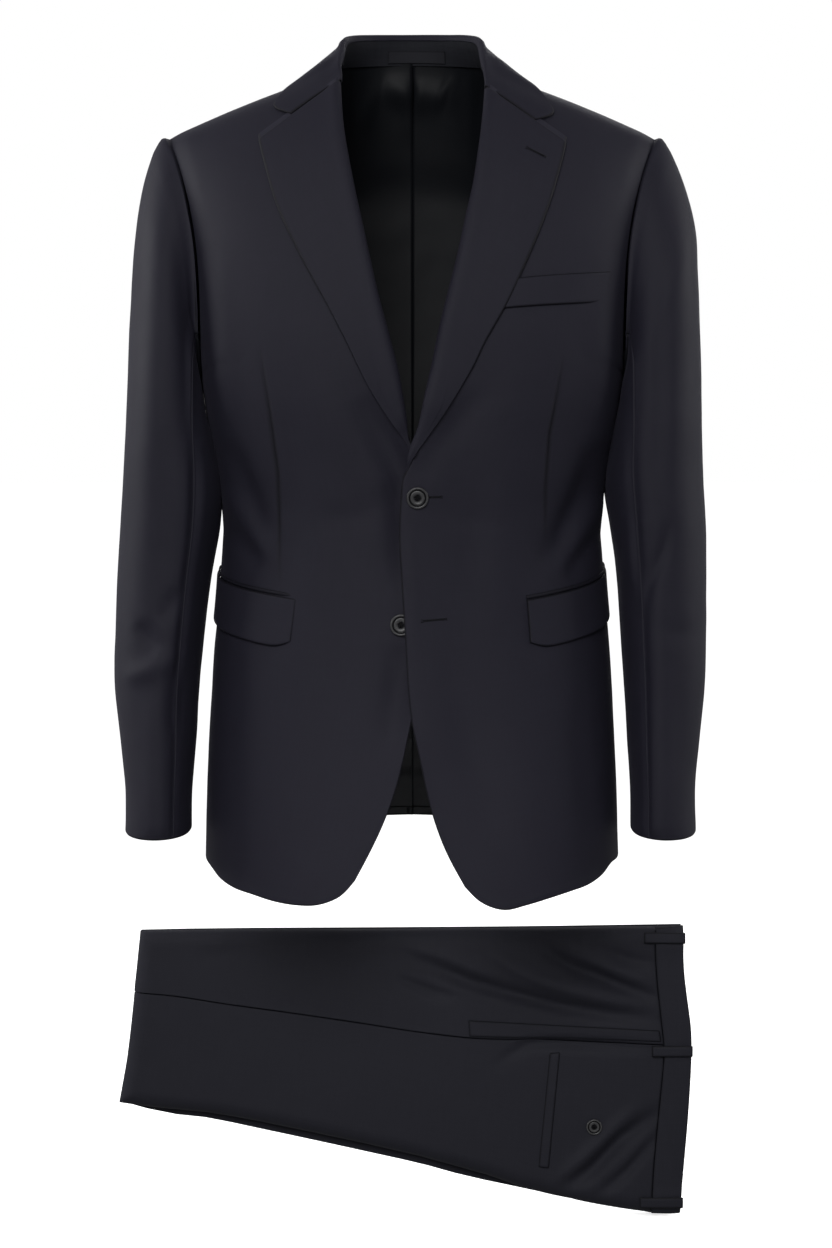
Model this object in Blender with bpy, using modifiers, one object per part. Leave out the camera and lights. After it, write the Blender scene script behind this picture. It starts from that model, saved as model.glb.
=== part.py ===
"""Two-piece suit: a single-breasted jacket in its worn, hollow form, and its folded trousers below it.

Metres, +Z up. X runs to the wearer's left, Y to the wearer's back. The origin is the middle of the
neck opening, at the height of the collar seam. Sizes are named in millimetres and scaled by MM.
The jacket's panels are cut from one body form, a stack of levels from hem to shoulder seam. What
lies on a panel (lapel, flap, welt, button) takes that panel's points, moved out.
"""
import math
from collections import namedtuple

import bmesh
import bpy
from mathutils import Vector

MM = 0.001

# ---------------------------------------------------------------- walls and gaps, mm
CLOTH = 1.8             # wool cloth with its canvas
LINING = 1.0            # lining cloth
TROUSER_CLOTH = 1.6
GAP = 0.35              # between two pieces that touch
SEAM = 0.5              # between two walls that meet at a seam
SIDE_GAP = 0.85         # the same at the side seams, where the walls turn a corner
NECK_GAP = 1.3          # the same at the back's neck, where the two walls lean towards each other

# ---------------------------------------------------------------- jacket body, mm
Level = namedtuple("Level", "z_mid z_end half front back neck square")
BODY_LEVELS = (
    #     z_mid   z_end   half  front  back  neck  square
    Level(-800.0, -800.0, 193.0, 122.0, 136.0, 0.0, 2.6),    # under the hem
    Level(-735.0, -735.0, 190.5, 121.0, 132.0, 0.0, 2.6),    # hem
    Level(-665.0, -665.0, 188.5, 119.5, 127.0, 0.0, 2.6),    # seat
    Level(-600.0, -600.0, 185.5, 118.0, 119.0, 0.0, 2.5),    # skirt
    Level(-530.0, -530.0, 181.0, 116.0, 109.0, 0.0, 2.4),    # flap pockets
    Level(-465.0, -465.0, 175.5, 114.5, 101.0, 0.0, 2.3),    # lower waist
    Level(-410.0, -410.0, 174.0, 114.5, 98.0, 0.0, 2.3),     # waist
    Level(-350.0, -350.0, 182.0, 119.0, 105.0, 0.0, 2.6),    # ribs
    Level(-295.0, -300.0, 189.5, 123.0, 114.0, 0.0, 2.9),    # underarm
    Level(-236.0, -252.0, 194.5, 121.5, 119.0, 0.0, 3.1),    # chest
    Level(-170.0, -204.0, 199.5, 113.0, 117.0, 2.0, 3.3),    # shoulder blades
    Level(-112.0, -160.0, 206.0, 99.0, 109.0, 6.0, 3.5),
    Level(-66.0, -126.0, 212.5, 83.0, 97.0, 13.0, 3.8),      # yoke
    Level(-28.0, -98.0, 217.5, 63.0, 77.0, 26.0, 4.2),
    Level(-5.0, -81.0, 221.0, 43.0, 53.0, 42.0, 4.6),
    Level(6.5, -72.5, 223.0, 22.0, 28.0, 60.0, 5.0),
    Level(10.6, -69.5, 223.5, 0.0, 0.0, 80.0, 5.0),          # shoulder seam
)
TOP = len(BODY_LEVELS) - 1
SLOPE_LINE, SLOPE_BEND = 0.68, 0.32       # how a level falls from its middle to its end
NECK_REACH = 0.31                         # the neck's half width, as a share of the shoulder's
NECK_SPREAD = 0.42
NECK_DIP = 6.0                            # the back neck seam is this much lower at its middle
NECK_BEND = 0.6
SHOULDER_HALF = 0.6                       # the panels stop this far in front of and behind the seam, mm
SHOULDER_END = 87.0                       # where the shoulder seam meets the sleeve, degrees
SHOULDER_STEPS, FORM_STEPS = 20, 12
NORMAL_TURN, NORMAL_RISE, NORMAL_TOP = 0.6, 0.12, 0.3    # how far apart the form is read for a normal
INSIDE_Y, INSIDE_DROP = 5.0, 25.0         # a point inside the form, this far behind and under a place, mm
HALVINGS = 40                             # of a span, to find a height in it
SIDE_RADIUS, BACK_RADIUS = 180.0, 120.0   # of the form at the seams, to turn a gap into degrees

# ---------------------------------------------------------------- armholes and body seams
ARM_MIDDLE, ARM_RISE = -185.5, 116.0      # height of the armhole's middle, half its height, mm
ARM_FRONT, ARM_BACK = 62.0, 62.0          # how far it reaches forwards and backwards, mm
FRONT_SEAM = 95.0                         # degrees round the body from the middle of the front
BACK_SEAM = 129.0
SIDE_RING, BACK_RING = 191.0, 240.0       # where these seams meet the armhole, degrees from its top
SIDE_HEM, BACK_SIDE_HEM, BACK_HEM = -722.0, -712.0, -703.5
LINING_HEM, LINING_NECK = 0.018, 0.988    # where the back lining starts and ends, share of the back's length
LINING_SHORT = 0.12                       # it stops this share of a column short of the side seam and armhole

# ---------------------------------------------------------------- front edges, (x, z) mm
LEFT_CUTAWAY = ((47, -738.5), (35.5, -718), (24, -692), (15, -662.5), (7, -625), (0, -593))
LEFT_FRONT_EDGE = ((0, -593), (-3.5, -561), (-6, -516), (-9, -466), (-11, -425), (-9, -385), (-5, -364))
LEFT_ROLL = ((-5, -364), (2, -336), (12.5, -297), (23, -255), (32, -222), (40.5, -190), (47.5, -159),
             (54, -125), (59, -90), (63.5, -56), (65.5, -29))
LEFT_HEM = ((47, -738.5), (58.5, -750), (70, -757.5), (85.5, -760), (106, -755.5), (135, -748),
            (164, -740), (176, -732), (182.5, -726))
RIGHT_CUTAWAY = ((-50.5, -733), (-36, -705.5), (-22, -674.5), (-13, -648), (-6, -620), (-0.5, -593.5))
RIGHT_FRONT_EDGE = ((-0.5, -593.5), (7, -558), (14, -515), (18, -470), (19, -420), (16, -385), (9, -360))
RIGHT_ROLL = ((9, -360), (-0.5, -336), (-9.5, -299), (-20.5, -255), (-31.5, -208), (-43, -156.5),
              (-52.5, -108.5), (-60, -65), (-63, -23))
RIGHT_HEM = ((-50.5, -733), (-62, -746), (-77, -754), (-95, -756.5), (-118, -755), (-139, -750),
             (-163, -744), (-178, -735.5), (-185.5, -728))
NECK_POINT = 68.0                         # x of the shoulder seam's neck end, mm
NECK_SET_BACK = 8.0                       # under the collar the front's edge stands back from the lapel's fold
NECK_SET_BACK_Z = (-112.0, -66.0)
OVERLAP_RISE = 5.6                        # the left front lies this far out where it crosses over
OVERLAP_FADE_X = (14.0, 52.0)
OVERLAP_FADE_TOP = (-318.0, -250.0)
OVERLAP_FADE_FOOT = (-690.0, -600.0)

# ---------------------------------------------------------------- lapels, (x, z) mm
LEFT_LAPEL_EDGE = ((-1, -359), (9, -343.5), (23, -324), (48, -286), (65, -253), (82, -224.5), (97, -193),
                   (110.5, -162), (121.5, -133), (130, -105), (134.5, -88), (136.5, -79))
LEFT_LAPEL_ROLL = ((-5, -357),) + LEFT_ROLL[1:-1] + ((65.5, -31.5),)
RIGHT_LAPEL_EDGE = ((-7.5, -334.5), (-31.5, -299), (-56.5, -255), (-79, -216), (-98.5, -180), (-118.5, -137.5),
                    (-130, -100), (-134, -85), (-136, -76.5))
RIGHT_LAPEL_ROLL = ((-2.5, -330),) + RIGHT_ROLL[2:-1] + ((-63, -25),)
Fold = namedtuple("Fold", "across out foot_across foot_out")
LAPEL_FOLD = (
    #    across  out  and the same at the lapel's narrow foot
    Fold(5.0, -5.4, 1.5, -4.4),
    Fold(-1.5, -4.6, -1.0, -4.2),
    Fold(-4.4, -1.4, -2.7, -2.4),
    Fold(-4.2, 2.0, -2.7, 0.6),
    Fold(-1.2, 4.9, -1.0, 2.4),
    Fold(4.5, 5.9, 1.0, 2.7),
    Fold(13.0, 5.4, 2.5, 2.6),
)
LAPEL_EDGE_OUT = 4.0                      # the lapel's face at its outer edge
LAPEL_NARROW = (5.0, 22.0)                # between these widths the fold grows to its full size

# ---------------------------------------------------------------- collar
Station = namedtuple("Station", "seam fold swell edge")
Gorge = namedtuple("Gorge", "roll notch tip")
GORGES = {
    1: Gorge((65.5, -28.8), (108.5, -59.8), (125, -54)),
    -1: Gorge((-63, -22.8), (-107, -54), (-122.5, -47)),
}
COLLAR_ROLL = ((3.6, -5.0), (3.2, -1.6), (1.6, 0.6), (-0.6, 0.9), (-2.6, -0.6))    # into the neck, up
COLLAR_END_ROLL = 0.5
LEAF_STOPS = (0.14, 0.36, 0.64, 1.0)
STAND_START, STAND_GAP = 0.07, 1.25
PATCH_HALF, PATCH_SPAN, PATCH_WALL = 0.085, (0.1, 0.62), 0.8

# ---------------------------------------------------------------- sleeves, mm
Ring = namedtuple("Ring", "z outer inner front back square")
LEFT_SLEEVE = (
    #    z     outer  inner  front  back  square
    Ring(-330, 263.5, 180.5, -84.0, 68.0, 2.2),    # under the armhole
    Ring(-370, 265.5, 179.5, -83.0, 64.0, 2.2),
    Ring(-420, 268.0, 183.5, -81.0, 58.0, 2.2),
    Ring(-470, 268.5, 188.0, -80.0, 51.0, 2.2),
    Ring(-520, 268.5, 191.0, -81.0, 44.0, 2.2),    # elbow
    Ring(-570, 267.0, 194.0, -83.0, 37.0, 2.2),
    Ring(-620, 261.5, 197.0, -86.0, 29.0, 2.2),
    Ring(-660, 258.0, 199.5, -89.0, 23.0, 2.2),
    Ring(-697, 258.5, 199.5, -91.0, 17.0, 2.2),    # cuff
)
RIGHT_SLEEVE = (
    Ring(-330, 260.5, 178.5, -84.0, 68.0, 2.2),
    Ring(-370, 263.0, 176.5, -83.0, 64.0, 2.2),
    Ring(-420, 266.0, 178.0, -81.0, 58.0, 2.2),
    Ring(-470, 269.0, 184.5, -80.0, 51.0, 2.2),
    Ring(-520, 271.0, 190.0, -81.0, 44.0, 2.2),
    Ring(-570, 271.0, 194.5, -83.0, 37.0, 2.2),
    Ring(-620, 265.0, 197.5, -86.0, 29.0, 2.2),
    Ring(-660, 261.0, 200.5, -89.0, 23.0, 2.2),
    Ring(-697, 261.0, 201.0, -91.0, 17.0, 2.2),
)
Bulge = namedtuple("Bulge", "down left right")
CAP_BULGE = (Bulge(0.0, 0.0, 0.0), Bulge(0.03, 0.19, 0.19), Bulge(0.085, 0.38, 0.36),
             Bulge(0.16, 0.59, 0.54), Bulge(0.30, 0.83, 0.71), Bulge(0.42, 0.90, 0.79),
             Bulge(0.58, 0.91, 0.85), Bulge(0.8, 0.96, 0.95), Bulge(1.0, 1.0, 1.0))
SLEEVE_START, SLEEVE_STEP = 2.3, 4.4      # from the body's armhole edge out to the sleeve's first rows
SLEEVE_CLEAR = 1.8
TOP_SLEEVE = (-112.0, 122.0)              # the two-piece sleeve's seams, degrees from the sleeve's outside
SLEEVE_SEAM = 1.8                         # between the two sleeve pieces, degrees
CUFF_DROP = 4.0                           # the cuff is lower at the front
SLEEVE_MIDDLE_Y = (-10.0, -38.0)          # of the sleeve's middle, under the armhole and at the cuff
CAP_Z, CAP_MIDDLE = -200.0, 0.92          # above this height the middle lies further in

# ---------------------------------------------------------------- pockets, (x, z) mm
CHEST_WELT_TOP = ((86, -201), (176, -192.5))
CHEST_WELT_FOOT = ((77, -227.5), (173, -220))
Flap = namedtuple("Flap", "side top_front top_end foot_front foot_end end_seam")
FLAPS = {
    "flap_left": Flap(1, (101.5, -484.5), -459.0, (105.0, -530.0), -500.0, 93.0),
    "flap_right": Flap(-1, (101.5, -483.5), -462.0, (107.5, -529.5), -503.0, 93.0),
}
FLAP_OUT, FLAP_WALL, FLAP_COLUMNS, FLAP_ROWS = 2.6, 1.8, 9, 5
FLAP_CORNER = (0.16, 0.035)               # the lower corners are rounded up by these shares of the height
JET_HEIGHT, JET_GAP, JET_OUT, JET_WALL, JET_STEPS = 4.0, 0.55, 2.0, 1.2, 8
WELT_OUT, WELT_WALL, WELT_COLUMNS = 1.8, 1.4, 6

# ---------------------------------------------------------------- buttons, mm
BUTTON_RADIUS, BUTTON_THICK, BUTTON_RIM, BUTTON_DISH = 9.8, 3.1, 2.2, 0.9
UPPER_BUTTON = (5.0, -393.0)
LOWER_BUTTON = (-9.5, -506.0)
POCKET_BUTTON_RADIUS = 7.6

# ---------------------------------------------------------------- trousers, mm
TROUSER_BACK = 106.0                      # y of the flat side that they lie on
FACE = 26.0                               # the visible cloth's height over that flat side
EDGE_DROP, EDGE_ROUND = 11.0, 15.0        # how far and how softly the cloth turns at a folded edge
CREASE_LINE = ((-259, -810), (-175, -809), (7, -808), (122, -807), (231, -806))
SIDE_SEAM = ((-265, -868), (-236, -870), (-175, -879), (-114, -887.5), (-53, -896.5), (8, -906),
             (55, -911.5), (121, -913.5), (161, -915.5), (239.5, -918.5))
SEAT_LINE = ((-280, -975.5), (-243, -980.5), (-196, -985), (-145.5, -994), (-95, -1004.5), (-43, -1016),
             (8, -1027.5), (70, -1045), (100.5, -1055.5), (152, -1068.5), (228, -1082))
KNEE_FRONT = ((-265, -868), (-259, -810))
KNEE_BACK = ((-280, -975.5), (-272.5, -934), (-265, -869))
BAND_SEAM_FRONT = ((239.5, -918), (236.5, -891), (233, -860), (231, -830), (231, -806))
BAND_SEAM_BACK = ((228, -1082), (230.5, -1034.5), (234, -993), (237, -962), (239.5, -931), (239.5, -919))
BAND_SEAM = BAND_SEAM_BACK + BAND_SEAM_FRONT[1:]
WAIST_EDGE = ((257, -1083), (257.5, -1062), (260.5, -1024), (263, -993.5), (265.5, -953), (266.5, -919),
              (265, -895), (261.5, -870), (258.5, -840), (258.5, -804))
UNDER_SEAT = ((-279, -977), (-238, -988), (-196, -993), (-146, -1003.5), (-95, -1014.5), (-43, -1026),
              (8, -1037.5), (50, -1049), (100.5, -1060), (152.5, -1071), (193, -1077.5), (220, -1084.5),
              (256, -1085.5))
UNDER_TOP = ((257, -805.5), (122, -807.5), (7, -808.5), (-175, -809.5), (-259, -811))
UNDER_KNEE = ((-259, -811), (-265.5, -872), (-272, -934), (-279, -977))
Layer = namedtuple("Layer", "inset seat")
LAYERS = (
    #     inset  seat: 0 along the lower layers' edge, 1 along the visible leg's
    Layer(0.8, 0.0),
    Layer(0.0, 0.0),
    Layer(1.6, 0.9),
    Layer(4.0, 1.0),
    Layer(8.0, 1.0),
)
LAYER_HEIGHT, LAYER_NOTCH = 3.7, 1.1
Crease = namedtuple("Crease", "x0 z0 x1 z1 depth width")
TROUSER_CREASES = (
    Crease(7, -829, 60, -852, -2.0, 9),
    Crease(60, -852, 150, -884, -2.6, 9),
    Crease(75, -832, 158, -866, -2.2, 8),
    Crease(128, -822, 228, -862, -2.0, 8),
    Crease(40, -838, 150, -868, 1.6, 9),
    Crease(110, -826, 215, -868, 1.5, 8),
    Crease(141, -1050, 222, -992, -2.2, 10),
    Crease(178, -1062, 222, -1012, -1.8, 9),
    Crease(160, -1058, 222, -1002, 1.4, 9),
)
BAND_RISE, BAND_WALL, BAND_EDGE_DROP, BAND_ROWS = 2.2, 2.4, 8.0, 18
BAND_TURN = (0.0, 0.0, 0.6, 2.4)          # the band's face turns under towards the waist's edge
BAND_COVERS = 4.0                         # the layers under it end this far short of the waist's edge
LOOP_WALL, LOOP_WIDTH, LOOP_LIFT, LOOP_STEPS = 1.8, 10.5, 0.8, 6
BELT_LOOPS = (((220, -815), (259.5, -815.5)), ((228, -924), (267, -924)), ((217, -1070), (258.5, -1070)))
SIDE_POCKET = ((53.5, -894.5), (235.5, -904.5), (54.5, -910.5), (237.5, -915.5))
BACK_WELT = ((131, -926), (141, -925), (120.5, -1036), (130.5, -1037.5))
POCKET_BUTTON = (173.5, -997.0)
TRIM_WALL = 1.2

# ---------------------------------------------------------------- mesh density
SEAM_ROWS = 15          # rows from the hem up to the armhole, alike in front, side and back
FRONT_GRID, BACK_GRID, SIDE_COLUMNS = (11, SEAM_ROWS + 9), (8, SEAM_ROWS + 7), 4
NECK_COLUMNS = 3        # of the back's columns end at the neck
CUTAWAY_SHARE, EDGE_SHARE = 5.0 / FRONT_GRID[1], 12.0 / FRONT_GRID[1]
LAPEL_ROWS, LAPEL_ACROSS, LAPEL_CROWD = 16, 4, 1.3
COLLAR_ALONG = 22
SLEEVE_TOP_COLUMNS, SLEEVE_UNDER_COLUMNS = 11, 7
CAP_ROWS = (0.03, 0.085, 0.18, 0.31, 0.48, 0.72)
LEG_GRID = (24, 7)
BUTTON_STEPS = 16


# ================================================================ curves and patches
def smooth(edges, value):
    """0 before the first edge, 1 after the second, an S between them."""
    share = min(1.0, max(0.0, (value - edges[0]) / (edges[1] - edges[0])))
    return share * share * (3.0 - 2.0 * share)


def spline(before, start, end, after, share):
    """One Catmull-Rom span from start to end."""
    a = 2.0 * start
    b = end - before
    c = 2.0 * before - 5.0 * start + 4.0 * end - after
    d = -before + 3.0 * start - 3.0 * end + after
    return (a + b * share + c * share ** 2 + d * share ** 3) * 0.5


class Path:
    """A smooth curve through its points, read at a share of its length, or of its marks."""

    def __init__(self, points, marks=None):
        self.points = [Vector(point) for point in points]
        self.marks = marks or [0.0]
        if not marks:
            for start, end in zip(self.points, self.points[1:]):
                self.marks.append(self.marks[-1] + (end - start).length)

    def at(self, share):
        reach = share * self.marks[-1]
        last = len(self.points) - 2
        span = 0
        while span < last and self.marks[span + 1] < reach:
            span += 1
        length = self.marks[span + 1] - self.marks[span]
        part = (reach - self.marks[span]) / length
        ring = self.points
        before = ring[max(span - 1, 0)]
        after = ring[min(span + 2, last + 1)]
        return spline(before, ring[span], ring[span + 1], after, part)


class Joined:
    """Paths end to end, with a corner between them, each with its own share of the whole."""

    def __init__(self, *pairs):
        self.paths = [path for path, _ in pairs]
        self.ends = [end for _, end in pairs]

    def at(self, share):
        start = 0.0
        for path, end in zip(self.paths, self.ends):
            if share <= end or end == self.ends[-1]:
                return path.at((share - start) / (end - start))
            start = end


def even(count):
    """Shares from 0 to 1 in even steps."""
    return [step / count for step in range(count + 1)]


def straight(start, end):
    return Path([start, end])


def patch(foot, top, inner, outer, columns, rows, line=straight):
    """A grid between four edges, each read from 0 to 1. rows is a count or a list of shares.

    line(start, end) is the plain way between two places. Each row is the plain way between the inner
    and the outer edge, plus what the foot and the top bend away from theirs.
    """
    low, high = line(foot.at(0.0), foot.at(1.0)), line(top.at(0.0), top.at(1.0))
    grid = []
    for up in even(rows) if isinstance(rows, int) else rows:
        side = line(inner.at(up), outer.at(up))
        grid.append([side.at(along) + (foot.at(along) - low.at(along)) * (1.0 - up)
                     + (top.at(along) - high.at(along)) * up for along in even(columns)])
    return grid


# ================================================================ the body form
def level(height):
    """The level at a height counted in levels, smooth between two rows of the table."""
    height = min(max(height, 0.0), float(TOP))
    low = min(int(height), TOP - 1)
    rows = BODY_LEVELS
    before, after = rows[max(low - 1, 0)], rows[min(low + 2, TOP)]
    share = height - low
    return Level(*(spline(a, b, c, d, share) for a, b, c, d in zip(before, rows[low], rows[low + 1], after)))


def body(angle, height):
    """A point of the body form: degrees from the middle of the front, height in levels."""
    cut = level(height)
    turn = math.radians(angle)
    power = cut.square
    reach = (abs(math.sin(turn)) ** power + abs(math.cos(turn)) ** power) ** (-1.0 / power)
    side = reach * math.sin(turn)
    ahead = reach * math.cos(turn)
    width = abs(side)
    z = cut.z_mid - (cut.z_mid - cut.z_end) * (SLOPE_LINE * width + SLOPE_BEND * width * width)
    if ahead >= 0:
        return Vector((cut.half * side, -max(cut.front, 0.0) * ahead, z))
    neck, inside = neck_share(cut, width)
    y = max(cut.back, 0.0) * -ahead + BODY_LEVELS[TOP].neck * neck * inside ** NECK_BEND
    return Vector((cut.half * side, y, z - NECK_DIP * neck * inside))


def neck_share(cut, width):
    """How much of the neck's reach a level has, and how far inside it a width lies, 0 to 1."""
    neck = max(cut.neck, 0.0) / BODY_LEVELS[TOP].neck
    spread = NECK_REACH + NECK_SPREAD * (1.0 - neck)
    return neck, max(0.0, 1.0 - (width / spread) ** 2)


def seam_share(angle, height):
    """How far in front of or behind the shoulder seam a point lies, as a share of its level's depth."""
    turn = math.radians(angle)
    power = level(height).square
    reach = (abs(math.sin(turn)) ** power + abs(math.cos(turn)) ** power) ** (-1.0 / power)
    return reach * abs(math.cos(turn))


def outward(angle, height):
    """The direction out of the body form."""
    height = min(height, TOP - NORMAL_TOP)
    along = body(angle + NORMAL_TURN, height) - body(angle - NORMAL_TURN, height)
    up = body(angle, height + NORMAL_RISE) - body(angle, height - NORMAL_RISE)
    normal = along.cross(up).normalized()
    place = body(angle, height)
    inside = Vector((0.0, INSIDE_Y, place.z - INSIDE_DROP))
    return normal if normal.dot(place - inside) > 0 else -normal


def on_body(angle, height, out=0.0):
    """A point of the body form moved out, in mm."""
    return body(angle, height) + outward(angle, height) * out


def find_height(target, place_at):
    """The height in levels where place_at(height).z is target."""
    low, high = 0.0, float(TOP)
    for _ in range(HALVINGS):
        middle = (low + high) / 2.0
        if place_at(middle) < target:
            low = middle
        else:
            high = middle
    return (low + high) / 2.0


def level_angle(cut, x):
    """The angle from the middle of the front where a level is x wide."""
    width = min(abs(x) / cut.half, 0.9999)
    ahead = (1.0 - width ** cut.square) ** (1.0 / cut.square)
    return math.copysign(math.degrees(math.atan2(width, ahead)), x)


def front_place(x, z):
    """Angle and height of the point seen at (x, z) from the front."""
    height = find_height(z, lambda h: body(level_angle(level(h), x), h).z)
    return Vector((level_angle(level(height), x), height))


def side_place(side, y, z):
    """Angle and height of the point at (y, z) seen from one side."""
    def angle_at(height):
        cut = level(height)
        depth = max(cut.front if y < 0 else cut.back, 0.01)
        ahead = min(abs(y) / depth, 0.9999)
        width = (1.0 - ahead ** cut.square) ** (1.0 / cut.square)
        angle = math.degrees(math.atan2(width, ahead))
        return side * (angle if y < 0 else 180.0 - angle)
    height = find_height(z, lambda h: body(angle_at(h), h).z)
    return Vector((angle_at(height), height))


def seam_place(angle, z):
    """Angle and height of the point of a seam at this height over the ground."""
    return Vector((angle, find_height(z, lambda h: body(angle, h).z)))


def shoulder_place(angle):
    """Angle and height of a panel's edge along the shoulder seam."""
    low, high = TOP - 1.5, float(TOP)
    for _ in range(HALVINGS):
        middle = (low + high) / 2.0
        if level(middle).front * seam_share(angle, middle) > SHOULDER_HALF:
            low = middle
        else:
            high = middle
    return Vector((angle, low))


def form_path(places):
    """A path of angles and heights, its shares measured along the body form."""
    marks = [0.0]
    for start, end in zip(places, places[1:]):
        marks.append(marks[-1] + (body(*end) - body(*start)).length)
    return Path(places, marks)


def form_line(start, end):
    """The plain way between two places, its shares measured along the body form."""
    return form_path([start.lerp(end, step) for step in even(FORM_STEPS)])


def shoulder_path(start, end):
    steps = even(SHOULDER_STEPS)
    return form_path([shoulder_place(start + (end - start) * step) for step in steps])


def armhole(side, turn):
    """Angle and height of the armhole's edge, in degrees from its top towards the front."""
    if turn < 0.5:
        return shoulder_place(side * SHOULDER_END)
    if turn > 359.5:
        return shoulder_place(side * (180.0 - SHOULDER_END))
    angle = math.radians(turn)
    forwards = ARM_FRONT if math.sin(angle) > 0 else ARM_BACK
    return side_place(side, -forwards * math.sin(angle), ARM_MIDDLE + ARM_RISE * math.cos(angle))


def armhole_arc(side, start, end, count=14):
    """The armhole's edge as a path between two turns."""
    return form_path([armhole(side, start + (end - start) * i / count) for i in range(count + 1)])


# ================================================================ making solids
COLLECTION = bpy.data.collections.new("two_piece_suit")
MATERIALS = {}


def material(name, colour, roughness, metallic=0.0):
    """A plain Principled finish for one piece."""
    made = bpy.data.materials.new(name)
    made.use_nodes = True
    shader = made.node_tree.nodes["Principled BSDF"]
    shader.inputs["Base Color"].default_value = (*colour, 1.0)
    shader.inputs["Roughness"].default_value = roughness
    shader.inputs["Metallic"].default_value = metallic
    made.diffuse_color = (*colour, 1.0)
    return made


JACKET_COLOUR = (0.024, 0.023, 0.031)
TROUSER_COLOUR = (0.018, 0.018, 0.026)
LINING_COLOUR = (0.008, 0.009, 0.012)
BUTTON_COLOUR = (0.03, 0.03, 0.032)


def add(name, mesh, colour, roughness=0.85):
    """A named object with its own material, in the suit's collection."""
    thing = bpy.data.objects.new(name, mesh)
    mesh.materials.append(material(name + "_finish", colour, roughness))
    COLLECTION.objects.link(thing)
    return thing


def solidify(thing, wall, offset=-1.0):
    shell = thing.modifiers.new("wall", "SOLIDIFY")
    shell.thickness = wall * MM
    shell.offset = offset
    shell.use_rim = True


def cloth(name, grid, wall, colour, out_of, smooth_shade=True):
    """A wall of cloth under a grid of outer points in mm. out_of is a point behind the cloth."""
    form = bmesh.new()
    lines = [[form.verts.new(point * MM) for point in line] for line in grid]
    for low, high in zip(lines, lines[1:]):
        for a, b, c, d in zip(low, low[1:], high[1:], high):
            form.faces.new((a, b, c, d))
    form.normal_update()
    facing = 0.0
    for face in form.faces:
        centre = face.calc_center_median()
        facing += face.normal.dot(centre - out_of(centre)) * face.calc_area()
    if facing < 0:
        bmesh.ops.reverse_faces(form, faces=form.faces)
    mesh = bpy.data.meshes.new(name)
    form.to_mesh(mesh)
    form.free()
    if smooth_shade:
        mesh.shade_smooth()
    thing = add(name, mesh, colour)
    solidify(thing, wall)
    return thing


def body_core(place):
    """A point inside the jacket, level with the place."""
    return Vector((0.0, 0.0, place.z))


# ================================================================ jacket: fronts, sides, back
def overlap(x, z):
    """How far the left front lies out over the right one, mm."""
    side = 1.0 - smooth(OVERLAP_FADE_X, x)
    top = 1.0 - smooth(OVERLAP_FADE_TOP, z)
    foot = smooth(OVERLAP_FADE_FOOT, z)
    return OVERLAP_RISE * side * top * foot


def no_overlap(x, z):
    """The right front lies on nothing."""
    return 0.0


def front_edges(side, cutaway, edge, roll, hem):
    """The four edges of one front, as paths of angle and height: foot, top, inner, outer."""
    neck = shoulder_place(level_angle(level(TOP - 0.1), side * (NECK_POINT + NECK_SET_BACK / 2.0)))
    under_roll = [(x + side * NECK_SET_BACK * smooth(NECK_SET_BACK_Z, z), z) for x, z in roll]
    inner = Joined(
        (form_path([front_place(*p) for p in cutaway]), CUTAWAY_SHARE),
        (form_path([front_place(*p) for p in edge]), EDGE_SHARE),
        (form_path([front_place(*p) for p in under_roll] + [neck]), 1.0))
    outer = Joined(
        (form_path([seam_place(side * FRONT_SEAM, z) for z in (SIDE_HEM, -600.0, -450.0)]
                   + [armhole(side, SIDE_RING)]), SEAM_ROWS / FRONT_GRID[1]),
        (armhole_arc(side, SIDE_RING, 0.0), 1.0))
    end = seam_place(side * FRONT_SEAM, SIDE_HEM)
    foot = form_path([front_place(*p) for p in hem] + [end])
    top = shoulder_path(neck.x, side * SHOULDER_END)
    return foot, top, inner, outer


def front(name, edges, rise):
    columns, rows = FRONT_GRID
    places = patch(*edges, columns, rows, form_line)
    grid = [[on_body(p.x, p.y, rise(*body(p.x, p.y).xz)) for p in line] for line in places]
    return cloth(name, grid, CLOTH, JACKET_COLOUR, body_core)


def side_panel(name, side):
    """The panel under the arm, between the front and the back."""
    shift = math.degrees(SIDE_GAP / SIDE_RADIUS)
    ring_front, ring_back = SIDE_RING + shift * 2.0, BACK_RING - shift * 2.0
    inner = form_path([seam_place(side * (FRONT_SEAM + shift), z) for z in (SIDE_HEM, -600.0, -450.0)]
                      + [armhole(side, ring_front)])
    outer = back_seam(side, -shift, ring_back)
    foot = form_path([inner.at(0.0), seam_place(side * 112.0, (SIDE_HEM + BACK_SIDE_HEM) / 2.0),
                      outer.at(0.0)])
    top = armhole_arc(side, ring_front, ring_back, 6)
    places = patch(foot, top, inner, outer, SIDE_COLUMNS, SEAM_ROWS, form_line)
    grid = [[on_body(p.x, p.y) for p in line] for line in places]
    return cloth(name, grid, CLOTH, JACKET_COLOUR, body_core)


def back_seam(side, shift, ring):
    """The seam between side and back, from hem to armhole."""
    return form_path([seam_place(side * (BACK_SEAM + shift), z) for z in (BACK_SIDE_HEM, -600.0, -460.0)]
                     + [seam_place(side * (BACK_SEAM - 3.0 + shift), -340.0), armhole(side, ring)])


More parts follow.
